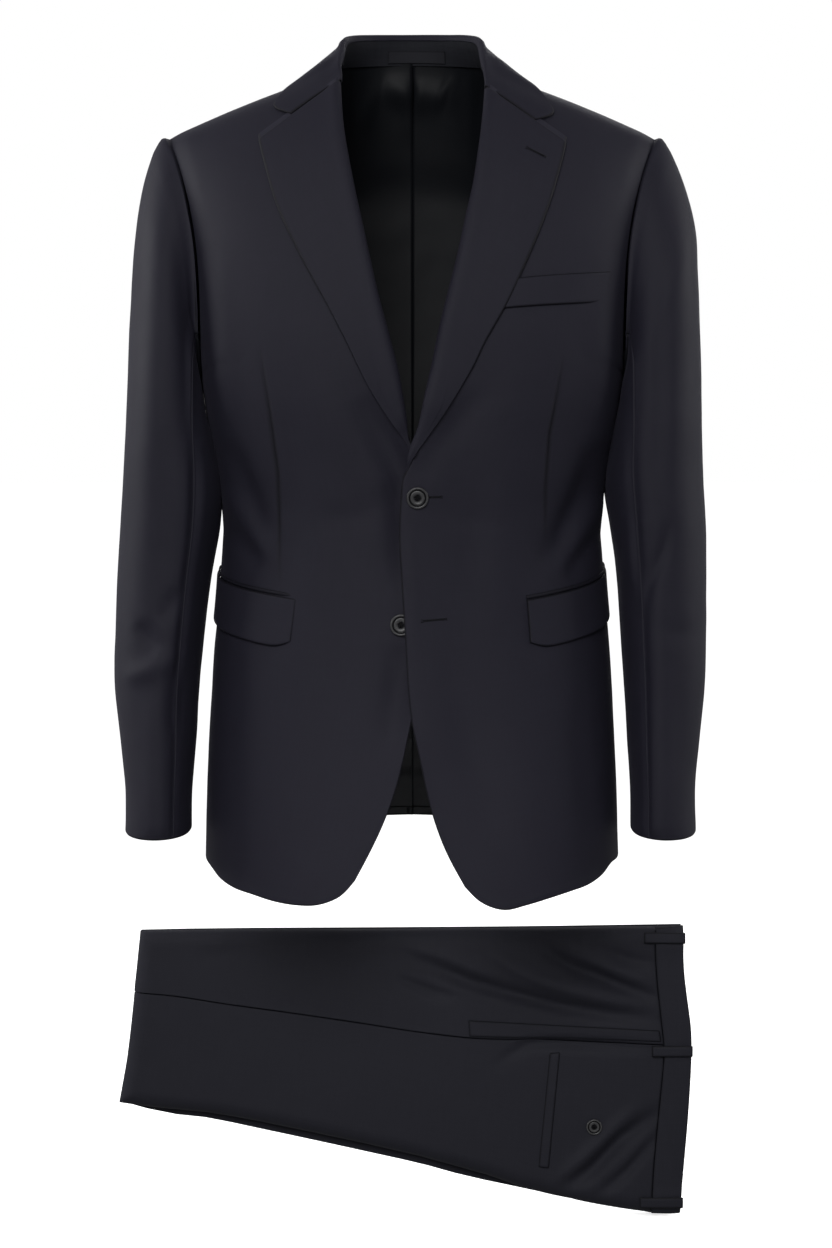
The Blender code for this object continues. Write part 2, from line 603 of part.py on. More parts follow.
def back_edges(side):
    shift = math.degrees(SEAM / SIDE_RADIUS)
    middle = side * (180.0 - math.degrees(SEAM / (2.0 * BACK_RADIUS)))
    neck_middle = Vector((side * (180.0 - math.degrees(NECK_GAP / (2.0 * BACK_RADIUS))), TOP - 0.03))
    inner = form_path([seam_place(middle, BACK_HEM), Vector((middle, 4.0)), Vector((middle, 7.0)),
                       Vector((middle, 10.0)), Vector((middle, 13.0)), neck_middle])
    outer = Joined((back_seam(side, shift, BACK_RING + shift), SEAM_ROWS / BACK_GRID[1]),
                   (armhole_arc(side, BACK_RING + shift, 360.0), 1.0))
    foot = form_path([inner.at(0.0), seam_place(side * 155.0, (BACK_HEM * 2 + BACK_SIDE_HEM) / 3.0),
                      outer.at(0.0)])
    neck = shoulder_place(side * (180.0 - level_angle(level(TOP - 0.1), NECK_POINT)))
    neck_edge = form_path([neck_middle, Vector(((middle + neck.x) / 2.0, neck.y)), neck])
    shoulder = shoulder_path(neck.x, side * (180.0 - SHOULDER_END))
    top = Joined((neck_edge, NECK_COLUMNS / BACK_GRID[0]), (shoulder, 1.0))
    return foot, top, inner, outer


def back(name, side):
    """Half the back, and the lining behind it, cut from the same places."""
    columns, rows = BACK_GRID
    shares = even(rows)
    shares.insert(1, LINING_HEM)
    shares.insert(-1, LINING_NECK)
    places = patch(*back_edges(side), columns, shares, form_line)
    grid = [[on_body(p.x, p.y) for p in line] for line in places]
    cloth("back_" + name, grid, CLOTH, JACKET_COLOUR, body_core)
    under = -(CLOTH + GAP * 2.0)
    inside = []
    for line in places[1:-1]:
        points = [on_body(p.x, p.y, under) for p in line]
        points[-1] = points[-1].lerp(points[-2], LINING_SHORT)
        inside.append(points)
    return cloth("lining_back_" + name, inside, LINING, LINING_COLOUR, body_core)


# ================================================================ jacket: lapels and collar
def lapel(name, side, roll, edge, rise):
    """The front turned back along its roll line, with a soft fold round the front's edge."""
    roll_path, edge_path = Path(roll), Path(edge)
    grid = []
    for row in range(LAPEL_ROWS + 1):
        share = 1.0 - (1.0 - row / LAPEL_ROWS) ** LAPEL_CROWD
        root, tip = roll_path.at(share), edge_path.at(share)
        width = (tip - root).length
        way = (tip - root).normalized()
        size = smooth(LAPEL_NARROW, width)
        stops = [(fold.foot_across + (fold.across - fold.foot_across) * size,
                  fold.foot_out + (fold.out - fold.foot_out) * size) for fold in LAPEL_FOLD]
        start, high = stops[-1]
        edge_out = LAPEL_FOLD[-1].foot_out + (LAPEL_EDGE_OUT - LAPEL_FOLD[-1].foot_out) * size
        for part in even(LAPEL_ACROSS)[1:]:
            stops.append((start + (width - start) * part, high + (edge_out - high) * part))
        line = []
        for across, out in stops:
            spot = root + way * across
            place = front_place(*spot)
            line.append(on_body(place.x, place.y, out + rise(spot.x, spot.y)))
        grid.append(line)

    def behind(place):
        """A point between the lapel's two leaves, next to the roll."""
        spot = front_place(place.x / MM, place.z / MM)
        return on_body(spot.x, spot.y) * MM
    return cloth(name, grid, CLOTH, JACKET_COLOUR, behind)


def spot_on_front(x, z, out):
    place = front_place(x, z)
    return on_body(place.x, place.y, out)


def collar_end(side):
    """The gorge end of the leaf: its fold, swell and notch, where it meets the lapel's top edge."""
    row = GORGES[side]
    fold, notch = Vector(row.roll), Vector(row.notch)
    spots = [fold.lerp(notch, share) for share in (0.0, 0.45, 1.0)]
    return [spot_on_front(x, z, out) for (x, z), out in zip(spots, (3.6, 5.0, 4.2))]


def collar_stations(side):
    """From beside the gorge to the middle of the back: neck seam, fold, the leaf's swell and edge."""
    row = GORGES[side]
    roll, tip = Vector(row.roll) + Vector((0.0, 6.0)), Vector(row.tip)
    middle = roll.lerp(tip, 0.5)
    at_gorge = spot_on_front(*roll, 4.2)
    return (
        Station(Vector((side * 65.0, at_gorge.y + 5.0, roll.y + 2.0)), at_gorge,
                spot_on_front(middle.x, middle.y, 5.2), spot_on_front(*tip, 4.2)),
        Station(Vector((side * 65.5, -24.0, -15.0)), Vector((side * 65.5, -30.0, -5.0)),
                spot_on_front(side * 95.0, -27.0, 5.2), spot_on_front(side * 119.0, -37.0, 4.2)),
        Station(Vector((side * 66.5, -4.0, -6.0)), Vector((side * 64.5, -8.0, 9.0)),
                Vector((side * 82.5, -16.0, -1.0)), spot_on_front(side * 108.5, -25.5, 4.2)),
        Station(Vector((side * 66.0, 20.0, -3.5)), Vector((side * 62.5, 20.0, 23.0)),
                Vector((side * 80.5, 22.0, 5.0)), Vector((side * 99.5, 24.0, -14.5))),
        Station(Vector((side * 58.0, 50.0, 0.5)), Vector((side * 52.0, 51.0, 30.0)),
                Vector((side * 71.0, 62.0, 11.0)), Vector((side * 84.0, 74.0, -18.0))),
        Station(Vector((side * 36.0, 71.0, 4.0)), Vector((side * 30.0, 73.0, 33.0)),
                Vector((side * 42.0, 89.0, 13.0)), Vector((side * 50.0, 101.5, -18.0))),
        Station(Vector((0.0, 77.5, 5.5)), Vector((0.0, 81.0, 34.0)),
                Vector((0.0, 96.0, 14.0)), Vector((0.0, 107.0, -18.0))),
    )


def collar_lines():
    """The four lines of the collar, from its left end round the back to its right end."""
    left, right = collar_stations(1), collar_stations(-1)
    whole = left + right[-2::-1]
    return {field: Path([getattr(row, field) for row in whole]) for field in Station._fields}


def into_neck(fold):
    """The direction from the fold to the middle of the neck."""
    return (Vector((0.0, 12.0, fold.z)) - fold).normalized()


def leaf_row(fold, swell, edge, roll):
    """One line across the leaf, from inside the neck over the fold to the edge."""
    inwards = into_neck(fold)
    turned = [fold + (inwards * across + Vector((0.0, 0.0, up))) * roll for across, up in COLLAR_ROLL]
    fall = Path([fold, swell, edge])
    return turned + [fall.at(part) for part in LEAF_STOPS]


def collar(name):
    """The leaf: it rolls over the fold and falls over the neck seam."""
    lines = collar_lines()
    grid = [leaf_row(*collar_end(1), COLLAR_END_ROLL)]
    for share in even(COLLAR_ALONG):
        roll = COLLAR_END_ROLL + (1.0 - COLLAR_END_ROLL) * smooth((0.0, 0.14), min(share, 1.0 - share))
        grid.append(leaf_row(*(lines[field].at(share) for field in ("fold", "swell", "edge")), roll))
    grid.append(leaf_row(*collar_end(-1), COLLAR_END_ROLL))
    return cloth(name, grid, CLOTH, JACKET_COLOUR, collar_middle)


def collar_middle(place):
    """A point under the leaf, between it and the stand."""
    ring = Vector((place.x, place.y - 0.012)).normalized() * 0.073
    return Vector((ring.x, ring.y + 0.012, min(place.z, 0.028) - 0.006))


def stand_grid():
    """The stand's inner face, from the neck seam up to the turned-in edge of the leaf."""
    lines = collar_lines()
    grid = []
    for step in even(COLLAR_ALONG):
        share = STAND_START + (1.0 - 2.0 * STAND_START) * step
        seam, fold = lines["seam"].at(share), lines["fold"].at(share)
        inwards = into_neck(fold)
        high = fold + inwards * COLLAR_ROLL[0][0] + Vector((0.0, 0.0, COLLAR_ROLL[0][1] - STAND_GAP))
        grid.append([seam.lerp(high, part) for part in (0.0, 0.5, 1.0)])
    return grid


def collar_stand(name):
    """The band inside the neck."""
    return cloth(name, stand_grid(), CLOTH, JACKET_COLOUR, lambda p: p * 2.0 - Vector((0.0, 0.012, p.z)))


def neck_patch(name):
    """The blank rectangular patch on the middle of the stand."""
    lines = collar_lines()
    grid = []
    for share in [0.5 + PATCH_HALF * step for step in (-1.0, -0.6, -0.2, 0.2, 0.6, 1.0)]:
        seam, fold = lines["seam"].at(share), lines["fold"].at(share)
        inwards = into_neck(fold)
        high = fold + inwards * COLLAR_ROLL[0][0] + Vector((0.0, 0.0, COLLAR_ROLL[0][1] - STAND_GAP))
        face = inwards * (PATCH_WALL + GAP + 0.1)
        grid.append([seam.lerp(high, part) + face for part in PATCH_SPAN])
    return cloth(name, grid, PATCH_WALL, LINING_COLOUR, lambda p: p * 2.0 - Vector((0.0, 0.012, p.z)))


# ================================================================ jacket: sleeves
def ring_point(ring, side, turn):
    """A point of a sleeve's level cut, in degrees from its outside towards the front."""
    angle = math.radians(turn)
    power = ring.square
    reach = (abs(math.sin(angle)) ** power + abs(math.cos(angle)) ** power) ** (-1.0 / power)
    middle_x, half_x = (ring.outer + ring.inner) / 2.0, (ring.outer - ring.inner) / 2.0
    middle_y, half_y = (ring.front + ring.back) / 2.0, (ring.back - ring.front) / 2.0
    x = middle_x + half_x * reach * math.cos(angle)
    y = middle_y - half_y * reach * math.sin(angle)
    return Vector((side * x, y, ring.z))


def bulge_out(down, side):
    """How far out the sleeve's cap has come, as a share, at a share of the way down."""
    for low, high in zip(CAP_BULGE, CAP_BULGE[1:]):
        if down <= high.down:
            share = (down - low.down) / (high.down - low.down)
            start, end = (low.left, high.left) if side > 0 else (low.right, high.right)
            return start + (end - start) * share
    return 1.0


def clear_of_body(point, side):
    """The point, moved sideways until it is clear of the body form."""
    place = side_place(side, point.y, point.z)
    limit = abs(body(place.x, place.y).x) + SLEEVE_CLEAR
    if abs(point.x) < limit:
        return Vector((side * limit, point.y, point.z))
    return point


def sleeve_column(rings, side, turn):
    """The sleeve's points from the armhole down to the cuff, at one turn round the sleeve."""
    edge = body(*armhole(side, turn % 360.0))
    out = Vector((side, 0.0, 0.0))
    first = ring_point(rings[0], side, turn)
    start = edge + out * SLEEVE_STEP
    column = [edge + out * SLEEVE_START, start]
    for down in CAP_ROWS:
        share = bulge_out(down, side)
        spot = Vector((start.x + (first.x - start.x) * share, start.y + (first.y - start.y) * share,
                       start.z + (first.z - start.z) * down))
        column.append(clear_of_body(spot, side))
    for ring in rings:
        spot = ring_point(ring, side, turn)
        if ring is rings[-1]:
            spot.z -= CUFF_DROP * math.sin(math.radians(turn))
        column.append(clear_of_body(spot, side))
    return column


def sleeve(name, rings, side, start, end, columns):
    turns = [start + (end - start) * i / columns for i in range(columns + 1)]
    table = [sleeve_column(rings, side, turn) for turn in turns]
    middle = side * (rings[0].outer + rings[0].inner) / 2.0 * MM

    def core(place):
        """A point in the middle of the sleeve, level with the place."""
        share = min(1.0, max(0.0, (rings[0].z - place.z / MM) / (rings[0].z - rings[-1].z)))
        x = middle if place.z < CAP_Z * MM else middle * CAP_MIDDLE
        y = SLEEVE_MIDDLE_Y[0] + (SLEEVE_MIDDLE_Y[1] - SLEEVE_MIDDLE_Y[0]) * share
        return Vector((x, y * MM, place.z))
    return cloth(name, table, CLOTH, JACKET_COLOUR, core)


# ================================================================ jacket: pockets and buttons
def trim(name, places, out, wall):
    """A flat piece on the front: its places, moved out."""
    grid = [[on_body(p.x, p.y, out) for p in line] for line in places]
    return cloth(name, grid, wall, JACKET_COLOUR, body_core)


def chest_welt(name):
    """The breast pocket's welt, tucked under the lapel's edge."""
    foot = Path([front_place(*p) for p in CHEST_WELT_FOOT])
    top = Path([front_place(*p) for p in CHEST_WELT_TOP])
    inner, outer = straight(foot.at(0), top.at(0)), straight(foot.at(1), top.at(1))
    return trim(name, patch(foot, top, inner, outer, WELT_COLUMNS, 2), WELT_OUT, WELT_WALL)


def flap_edges(flap):
    side = flap.side
    top_start = front_place(side * flap.top_front[0], flap.top_front[1])
    foot_start = front_place(side * flap.foot_front[0], flap.foot_front[1])
    top_end = seam_place(side * flap.end_seam, flap.top_end)
    foot_end = seam_place(side * flap.end_seam, flap.foot_end)
    return straight(foot_start, foot_end), straight(top_start, top_end)


def flap(name, row):
    """A pocket flap with rounded lower corners, hung under its jet."""
    foot, top = flap_edges(row)
    grid = patch(foot, top, straight(foot.at(0), top.at(0)), straight(foot.at(1), top.at(1)),
                 FLAP_COLUMNS, FLAP_ROWS)
    for column in range(FLAP_COLUMNS + 1):
        near = min(column, FLAP_COLUMNS - column)
        lift = FLAP_CORNER[near] if near < len(FLAP_CORNER) else 0.0
        for line in range(FLAP_ROWS):
            share = 1.0 - line / FLAP_ROWS
            grid[line][column] = grid[line][column].lerp(grid[FLAP_ROWS][column], lift * share)
    return trim(name, grid, FLAP_OUT, FLAP_WALL)


def jet(name, row):
    """The narrow welt above the flap."""
    _, top = flap_edges(row)
    places = []
    for lift in (JET_GAP, JET_HEIGHT):
        line = [top.at(share) for share in even(JET_STEPS)]
        places.append([seam_place(place.x, body(*place).z + lift) for place in line])
    return trim(name, places, JET_OUT, JET_WALL)


def button(name, centre, normal, radius, colour=BUTTON_COLOUR):
    """A turned button: rounded rim, dished face."""
    thick = BUTTON_THICK * radius / BUTTON_RADIUS
    rim, dish = BUTTON_RIM * radius / BUTTON_RADIUS, BUTTON_DISH
    profile = ((0.0, thick - dish), (radius - rim * 1.3, thick - dish), (radius - rim, thick - dish * 0.5),
               (radius - rim * 0.6, thick), (radius - rim * 0.25, thick - 0.1), (radius, thick * 0.62),
               (radius - 0.2, thick * 0.35), (radius * 0.72, 0.0), (0.0, 0.0))
    mesh = bpy.data.meshes.new(name)
    points = [(x * MM, 0.0, z * MM) for x, z in profile]
    mesh.from_pydata(points, [(i, i + 1) for i in range(len(points) - 1)], [])
    thing = add(name, mesh, colour, 0.35)
    turn = thing.modifiers.new("turn", "SCREW")
    turn.steps = turn.render_steps = BUTTON_STEPS
    turn.use_merge_vertices = True
    turn.merge_threshold = 0.00001
    turn.use_smooth_shade = True
    thing.location = (centre + normal * GAP) * MM
    thing.rotation_euler = normal.to_track_quat("Z", "Y").to_euler()
    return thing


# ================================================================ trousers
def distance_to(line, x, z):
    """Distance from (x, z) to a path's points joined by straight lines."""
    spot = Vector((x, z))
    best = 1e9
    for start, end in zip(line, line[1:]):
        a, b = Vector(start), Vector(end)
        share = max(0.0, min(1.0, (spot - a).dot(b - a) / (b - a).length_squared))
        best = min(best, (spot - a.lerp(b, share)).length)
    return best


def crease(row, x, z):
    """The height that one crease adds: full along its middle, soft at its sides and ends."""
    a, b, spot = Vector((row.x0, row.z0)), Vector((row.x1, row.z1)), Vector((x, z))
    share = (spot - a).dot(b - a) / (b - a).length_squared
    near = max(0.0, min(1.0, share))
    away = (spot - a.lerp(b, near)).length / row.width
    return row.depth * math.exp(-away * away)


def face_height(x, z):
    """Height of the visible cloth over the flat side: rounded at the folded edges, creased."""
    away = min(distance_to(CREASE_LINE, x, z), distance_to(SEAT_LINE, x, z),
               distance_to(KNEE_BACK + KNEE_FRONT[1:], x, z))
    share = min(1.0, away / EDGE_ROUND)
    turn = 1.0 - math.sqrt(max(0.0, 1.0 - (1.0 - share) ** 2))
    flat = smooth((0.0, 26.0), away)
    return FACE - EDGE_DROP * turn + flat * sum(crease(row, x, z) for row in TROUSER_CREASES)


def on_trousers(x, z, out=0.0):
    return Vector((x, TROUSER_BACK - face_height(x, z) - out, z))


def trouser_core(place):
    return Vector((place.x, TROUSER_BACK * MM, place.z))


def leg_panel(name, foot, top, inner, outer, columns, rows):
    grid = patch(Path(foot), Path(top), Path(inner), Path(outer), columns, rows)
    points = [[on_trousers(p.x, p.y) for p in line] for line in grid]
    return cloth(name, points, TROUSER_CLOTH, TROUSER_COLOUR, trouser_core)


def layer_outline(seat):
    """The outline of a folded layer; seat moves its foot from the lower layers' edge to the leg's."""
    low, high = Path(UNDER_SEAT), Path(SEAT_LINE + ((256.0, -1083.5),))
    outline = [low.at(share).lerp(high.at(share), seat) for share in even(20)[:-1]]
    outline += [Path(WAIST_EDGE).at(share) - Vector((BAND_COVERS, 0.0)) for share in even(6)[:-1]]
    outline += [Path(UNDER_TOP).at(share) for share in even(9)[:-1]]
    outline += [Path(UNDER_KNEE).at(share) for share in even(4)[:-1]]
    return outline


def hidden_layers(name):
    """The legs folded under the visible one: one solid, its rim stepped like stacked layers."""
    form = bmesh.new()
    rings = []
    for number, layer in enumerate(LAYERS):
        outline = layer_outline(layer.seat)
        for lift, inset in ((0.0, layer.inset + LAYER_NOTCH), (0.5, layer.inset)):
            height = (number + lift) * LAYER_HEIGHT
            ring = []
            for index, spot in enumerate(outline):
                along = (outline[(index + 1) % len(outline)] - outline[index - 1]).normalized()
                place = spot + Vector((-along.y, along.x)) * inset
                ring.append(form.verts.new(Vector((place.x, TROUSER_BACK - height, place.y)) * MM))
            rings.append(ring)
    for low, high in zip(rings, rings[1:]):
        count = len(low)
        for i in range(count):
            form.faces.new((low[i], low[(i + 1) % count], high[(i + 1) % count], high[i]))
    form.faces.new(list(reversed(rings[0])))
    form.faces.new(rings[-1])
    bmesh.ops.recalc_face_normals(form, faces=form.faces)
    mesh = bpy.data.meshes.new(name)
    form.to_mesh(mesh)
    form.free()
    return add(name, mesh, TROUSER_COLOUR)


def trouser_trim(name, corners, columns, rows, out, wall, colour=TROUSER_COLOUR):
    """A flat piece on the trousers between four corners: top left, top right, foot left, foot right."""
    top_left, top_right, foot_left, foot_right = corners
    grid = patch(straight(foot_left, foot_right), straight(top_left, top_right),
                 straight(foot_left, top_left), straight(foot_right, top_right), columns, rows)
    points = [[on_trousers(p.x, p.y, out) for p in line] for line in grid]
    return cloth(name, points, wall, colour, trouser_core)


def waistband(name):
    """The band at the waist, a little proud of the legs."""
    grid = patch(straight(BAND_SEAM[0], WAIST_EDGE[0]), straight(BAND_SEAM[-1], WAIST_EDGE[-1]),
                 Path(BAND_SEAM), Path(WAIST_EDGE), len(BAND_TURN) - 1, BAND_ROWS)
    points = []
    for line in grid:
        row = []
        for column, (p, turn) in enumerate(zip(line, BAND_TURN)):
            x = p.x + (SEAM if column == 0 else 0.0)
            row.append(Vector((x, TROUSER_BACK - band_height(p.y) + turn, p.y)))
        points.append(row)
    return cloth(name, points, BAND_WALL, TROUSER_COLOUR, trouser_core)


def band_height(z):
    """Height of the waistband's face: rounded at its top and foot, where it turns under."""
    away = min(z - WAIST_EDGE[0][1], WAIST_EDGE[-1][1] - z)
    share = min(1.0, max(0.0, away) / EDGE_ROUND)
    turn = 1.0 - math.sqrt(max(0.0, 1.0 - (1.0 - share) ** 2))
    return FACE + BAND_RISE - BAND_EDGE_DROP * turn


def belt_loop(name, start, end):
    """A strip over the waistband, sewn down at both ends."""
    grid = []
    for share in even(LOOP_STEPS):
        x = start[0] + (end[0] - start[0]) * share
        middle = start[1] + (end[1] - start[1]) * share
        line = []
        for half in (-0.5, 0.5):
            z = middle + LOOP_WIDTH * half
            base = band_height(z) + LOOP_WALL + GAP
            lift = LOOP_LIFT * math.sin(math.pi * share)
            line.append(Vector((x, TROUSER_BACK - base - lift, z)))
        grid.append(line)
    return cloth(name, grid, LOOP_WALL, TROUSER_COLOUR, trouser_core, False)


# ================================================================ the whole suit
def build():
    for thing in list(bpy.data.objects):
        bpy.data.objects.remove(thing)
    bpy.context.scene.collection.children.link(COLLECTION)

    left = front_edges(1, LEFT_CUTAWAY, LEFT_FRONT_EDGE, LEFT_ROLL, LEFT_HEM)
    right = front_edges(-1, RIGHT_CUTAWAY, RIGHT_FRONT_EDGE, RIGHT_ROLL, RIGHT_HEM)
    front("front_left", left, overlap)
    front("front_right", right, no_overlap)
    for name, side in (("left", 1), ("right", -1)):
        side_panel("side_" + name, side)
        back(name, side)
    lapel("lapel_left", 1, LEFT_LAPEL_ROLL, LEFT_LAPEL_EDGE, overlap)
    lapel("lapel_right", -1, RIGHT_LAPEL_ROLL, RIGHT_LAPEL_EDGE, no_overlap)
    collar("collar")
    collar_stand("collar_stand")
    neck_patch("neck_patch")
    for name, rings, side in (("left", LEFT_SLEEVE, 1), ("right", RIGHT_SLEEVE, -1)):
        start, end = TOP_SLEEVE
        sleeve("sleeve_top_" + name, rings, side, start, end, SLEEVE_TOP_COLUMNS)
        sleeve("sleeve_under_" + name, rings, side, end + SLEEVE_SEAM, start + 360.0 - SLEEVE_SEAM,
               SLEEVE_UNDER_COLUMNS)
    chest_welt("chest_welt")
    for name, row in FLAPS.items():
        flap(name, row)
        jet(name.replace("flap", "jet"), row)
    upper, lower = front_place(*UPPER_BUTTON), front_place(*LOWER_BUTTON)
    button("button_upper", on_body(*upper, overlap(*UPPER_BUTTON)), outward(*upper), BUTTON_RADIUS)
    button("button_lower", on_body(*lower), outward(*lower), BUTTON_RADIUS)

    columns, rows = LEG_GRID
    leg_panel("leg_front", SIDE_SEAM, CREASE_LINE, KNEE_FRONT, BAND_SEAM_FRONT, columns, rows)
    leg_panel("leg_back", SEAT_LINE, [(x, z - SEAM) for x, z in SIDE_SEAM], KNEE_BACK, BAND_SEAM_BACK,
              columns, rows)
    hidden_layers("leg_hidden_layers")
    waistband("waistband")
    for index, (start, end) in enumerate(BELT_LOOPS, 1):
        belt_loop("belt_loop_%d" % index, start, end)
    trouser_trim("side_pocket", SIDE_POCKET, 8, 1, TRIM_WALL + GAP, TRIM_WALL)
    trouser_trim("back_pocket_welt", BACK_WELT, 1, 6, TRIM_WALL + GAP, TRIM_WALL)
    forwards = Vector((0.0, -1.0, 0.0))
    button("pocket_button", on_trousers(*POCKET_BUTTON), forwards, POCKET_BUTTON_RADIUS)


build()
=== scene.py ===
"""Two-piece suit: the jacket and the folded trousers as cloth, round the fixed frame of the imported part.

Metres, +Z up. X runs to the wearer's left and Y to the wearer's back. Sizes in tables are millimetres.
"""
import math

import bmesh
import bpy
import numpy as np
from mathutils import Matrix, Vector, noise
from mathutils.bvhtree import BVHTree


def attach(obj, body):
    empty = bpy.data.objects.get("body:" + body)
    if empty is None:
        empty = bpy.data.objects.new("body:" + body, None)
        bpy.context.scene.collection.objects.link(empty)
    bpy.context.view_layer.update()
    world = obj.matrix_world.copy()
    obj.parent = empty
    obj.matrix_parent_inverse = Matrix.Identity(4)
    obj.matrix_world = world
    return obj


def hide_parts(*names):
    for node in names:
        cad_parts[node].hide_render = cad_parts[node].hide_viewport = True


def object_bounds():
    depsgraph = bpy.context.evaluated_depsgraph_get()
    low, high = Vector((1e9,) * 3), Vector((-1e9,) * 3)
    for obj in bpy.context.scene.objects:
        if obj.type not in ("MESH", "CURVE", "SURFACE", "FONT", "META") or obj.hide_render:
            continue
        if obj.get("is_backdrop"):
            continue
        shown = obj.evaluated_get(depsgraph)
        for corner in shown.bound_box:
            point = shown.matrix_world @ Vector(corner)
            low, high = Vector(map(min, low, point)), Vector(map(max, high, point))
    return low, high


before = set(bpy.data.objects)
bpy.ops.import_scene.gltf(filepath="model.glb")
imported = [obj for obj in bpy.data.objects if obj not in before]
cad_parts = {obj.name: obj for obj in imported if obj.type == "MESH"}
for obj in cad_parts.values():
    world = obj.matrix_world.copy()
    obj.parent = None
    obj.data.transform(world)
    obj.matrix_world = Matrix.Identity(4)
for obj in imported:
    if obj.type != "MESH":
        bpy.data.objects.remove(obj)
cad_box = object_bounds()
MM = 0.001

# ---------------------------------------------------------------- studio
# A pale floor that runs out of sight in a white room, lit by a broad soft lamp in front, one on each side,
# one behind and a weak narrow one low down. The camera stands three metres in front of the jacket's middle.
def stand(name, data):
    """A mesh, lamp or camera set in the scene."""
    thing = bpy.data.objects.new(name, data)
    bpy.context.scene.collection.objects.link(thing)
    return thing


def dial(node, **values):
    """Sets a node's inputs; a name's underscores are spaces."""
    for label, value in values.items():
        node.inputs[label.replace("_", " ")].default_value = value


def wire(tree, *pairs):
    """Links each output to its input."""
    for output, socket in pairs:
        tree.links.new(output, socket)


WHITE = (1.0, 1.0, 1.0, 1.0)
FLOOR_REACH, FLOOR_DROP = 40.0, 0.0005    # m to each side, and below the lowest point of the suit
floor_form = bmesh.new()
bmesh.ops.create_grid(floor_form, x_segments=1, y_segments=1, size=FLOOR_REACH)
bmesh.ops.translate(floor_form, verts=floor_form.verts, vec=(0.0, 0.0, cad_box[0].z - FLOOR_DROP))
floor_mesh = bpy.data.meshes.new("studio_floor")
floor_form.to_mesh(floor_mesh)
floor_form.free()
floor = stand("studio_floor", floor_mesh)
floor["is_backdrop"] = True
floor_finish = bpy.data.materials.new("studio_floor")
floor_finish.use_nodes = True
dial(floor_finish.node_tree.nodes["Principled BSDF"], Base_Color=(0.93, 0.93, 0.93, 1.0), Roughness=0.9,
     Specular_IOR_Level=0.0, Emission_Color=WHITE, Emission_Strength=0.75)
floor.visible_diffuse = False
floor.visible_glossy = False
floor_mesh.materials.append(floor_finish)

ROOM_BELOW, ROOM_ABOVE = 0.24, 0.36    # strength of the room's light from below and from above
room = bpy.data.worlds.new("studio_room")
room.use_nodes = True
bpy.context.scene.world = room
room_tree = room.node_tree
room_seen = room_tree.nodes["Background"]
room_light, room_way, room_axes, room_fall, room_ray, room_mix = (
    room_tree.nodes.new("ShaderNode" + kind)
    for kind in ("Background", "TexCoord", "SeparateXYZ", "MapRange", "LightPath", "MixShader"))
dial(room_seen, Color=WHITE, Strength=1.0)
dial(room_light, Color=WHITE)
dial(room_fall, From_Min=-1.0, To_Min=ROOM_BELOW, To_Max=ROOM_ABOVE)
wire(room_tree, (room_way.outputs["Generated"], room_axes.inputs[0]),
     (room_axes.outputs[2], room_fall.inputs["Value"]), (room_fall.outputs[0], room_light.inputs["Strength"]),
     (room_ray.outputs["Is Camera Ray"], room_mix.inputs[0]), (room_light.outputs[0], room_mix.inputs[1]),
     (room_seen.outputs[0], room_mix.inputs[2]),
     (room_mix.outputs[0], room_tree.nodes["World Output"].inputs["Surface"]))
bpy.context.scene.view_settings.view_transform = "Standard"
bpy.context.scene.view_settings.look = "None"

LAMPS = (
    # name        place                 aimed at             size  power  spread, degrees
    ("lamp_front", (-0.38, -2.5, 0.6), (0.0, 0.0, -0.45), 1.3, 55.0, 180.0),
    ("lamp_left", (1.8, 0.25, 0.2), (0.0, 0.0, -0.35), 0.8, 19.0, 180.0),
    ("lamp_right", (-1.8, 0.2, 0.2), (0.0, 0.0, -0.35), 0.8, 28.0, 180.0),
    ("lamp_low", (0.0, -1.1, -1.08), (0.0, 0.1, -0.66), 0.25, 0.11, 30.0),
    ("lamp_back", (0.3, 2.2, 0.4), (0.0, 0.0, -0.4), 1.4, 12.0, 180.0),
)
for name, place, aim, size, power, spread in LAMPS:
    lamp_data = bpy.data.lights.new(name, "AREA")
    lamp_data.size = size
    lamp_data.energy = power
    lamp_data.spread = math.radians(spread)
    lamp = stand(name, lamp_data)
    lamp.location = place
    lamp.rotation_euler = (Vector(aim) - Vector(place)).to_track_quat("-Z", "Y").to_euler()

CAMERA_PLACE, CAMERA_AIM = Vector((0.0037, -3.0, -0.33)), Vector((0.0037, 0.0, -0.512))
camera_data = bpy.data.cameras.new("camera")
camera_data.lens = 94.236
camera_data.sensor_width = 36.0
camera = stand("camera", camera_data)
camera.location = CAMERA_PLACE
camera.rotation_euler = (CAMERA_AIM - CAMERA_PLACE).to_track_quat("-Z", "Y").to_euler()
bpy.context.scene.camera = camera


# ---------------------------------------------------------------- jacket cloth
# Fine worsted wool, a blue-black with a little grey in the yarn, woven in a close twill and pressed, so
# that it has a faint sheen. The lining is a black satin twill.
def new_group(name, inputs, outputs):
    """A shader node group with named sockets, and its input and output nodes."""
    group = bpy.data.node_groups.new(name, "ShaderNodeTree")
    for label, value in inputs:
        socket = group.interface.new_socket(name=label, in_out="INPUT", socket_type="NodeSocketFloat")
        socket.default_value = value
    for label in outputs:
        group.interface.new_socket(name=label, in_out="OUTPUT", socket_type="NodeSocketFloat")
    return group, group.nodes.new("NodeGroupInput"), group.nodes.new("NodeGroupOutput")


def maths(tree, operation, *values):
    """A Math node; each value is a socket or a number."""
    node = tree.nodes.new("ShaderNodeMath")
    node.operation = operation
    for index, value in enumerate(values):
        if isinstance(value, (int, float)):
            node.inputs[index].default_value = value
        else:
            tree.links.new(value, node.inputs[index])
    return node.outputs[0]


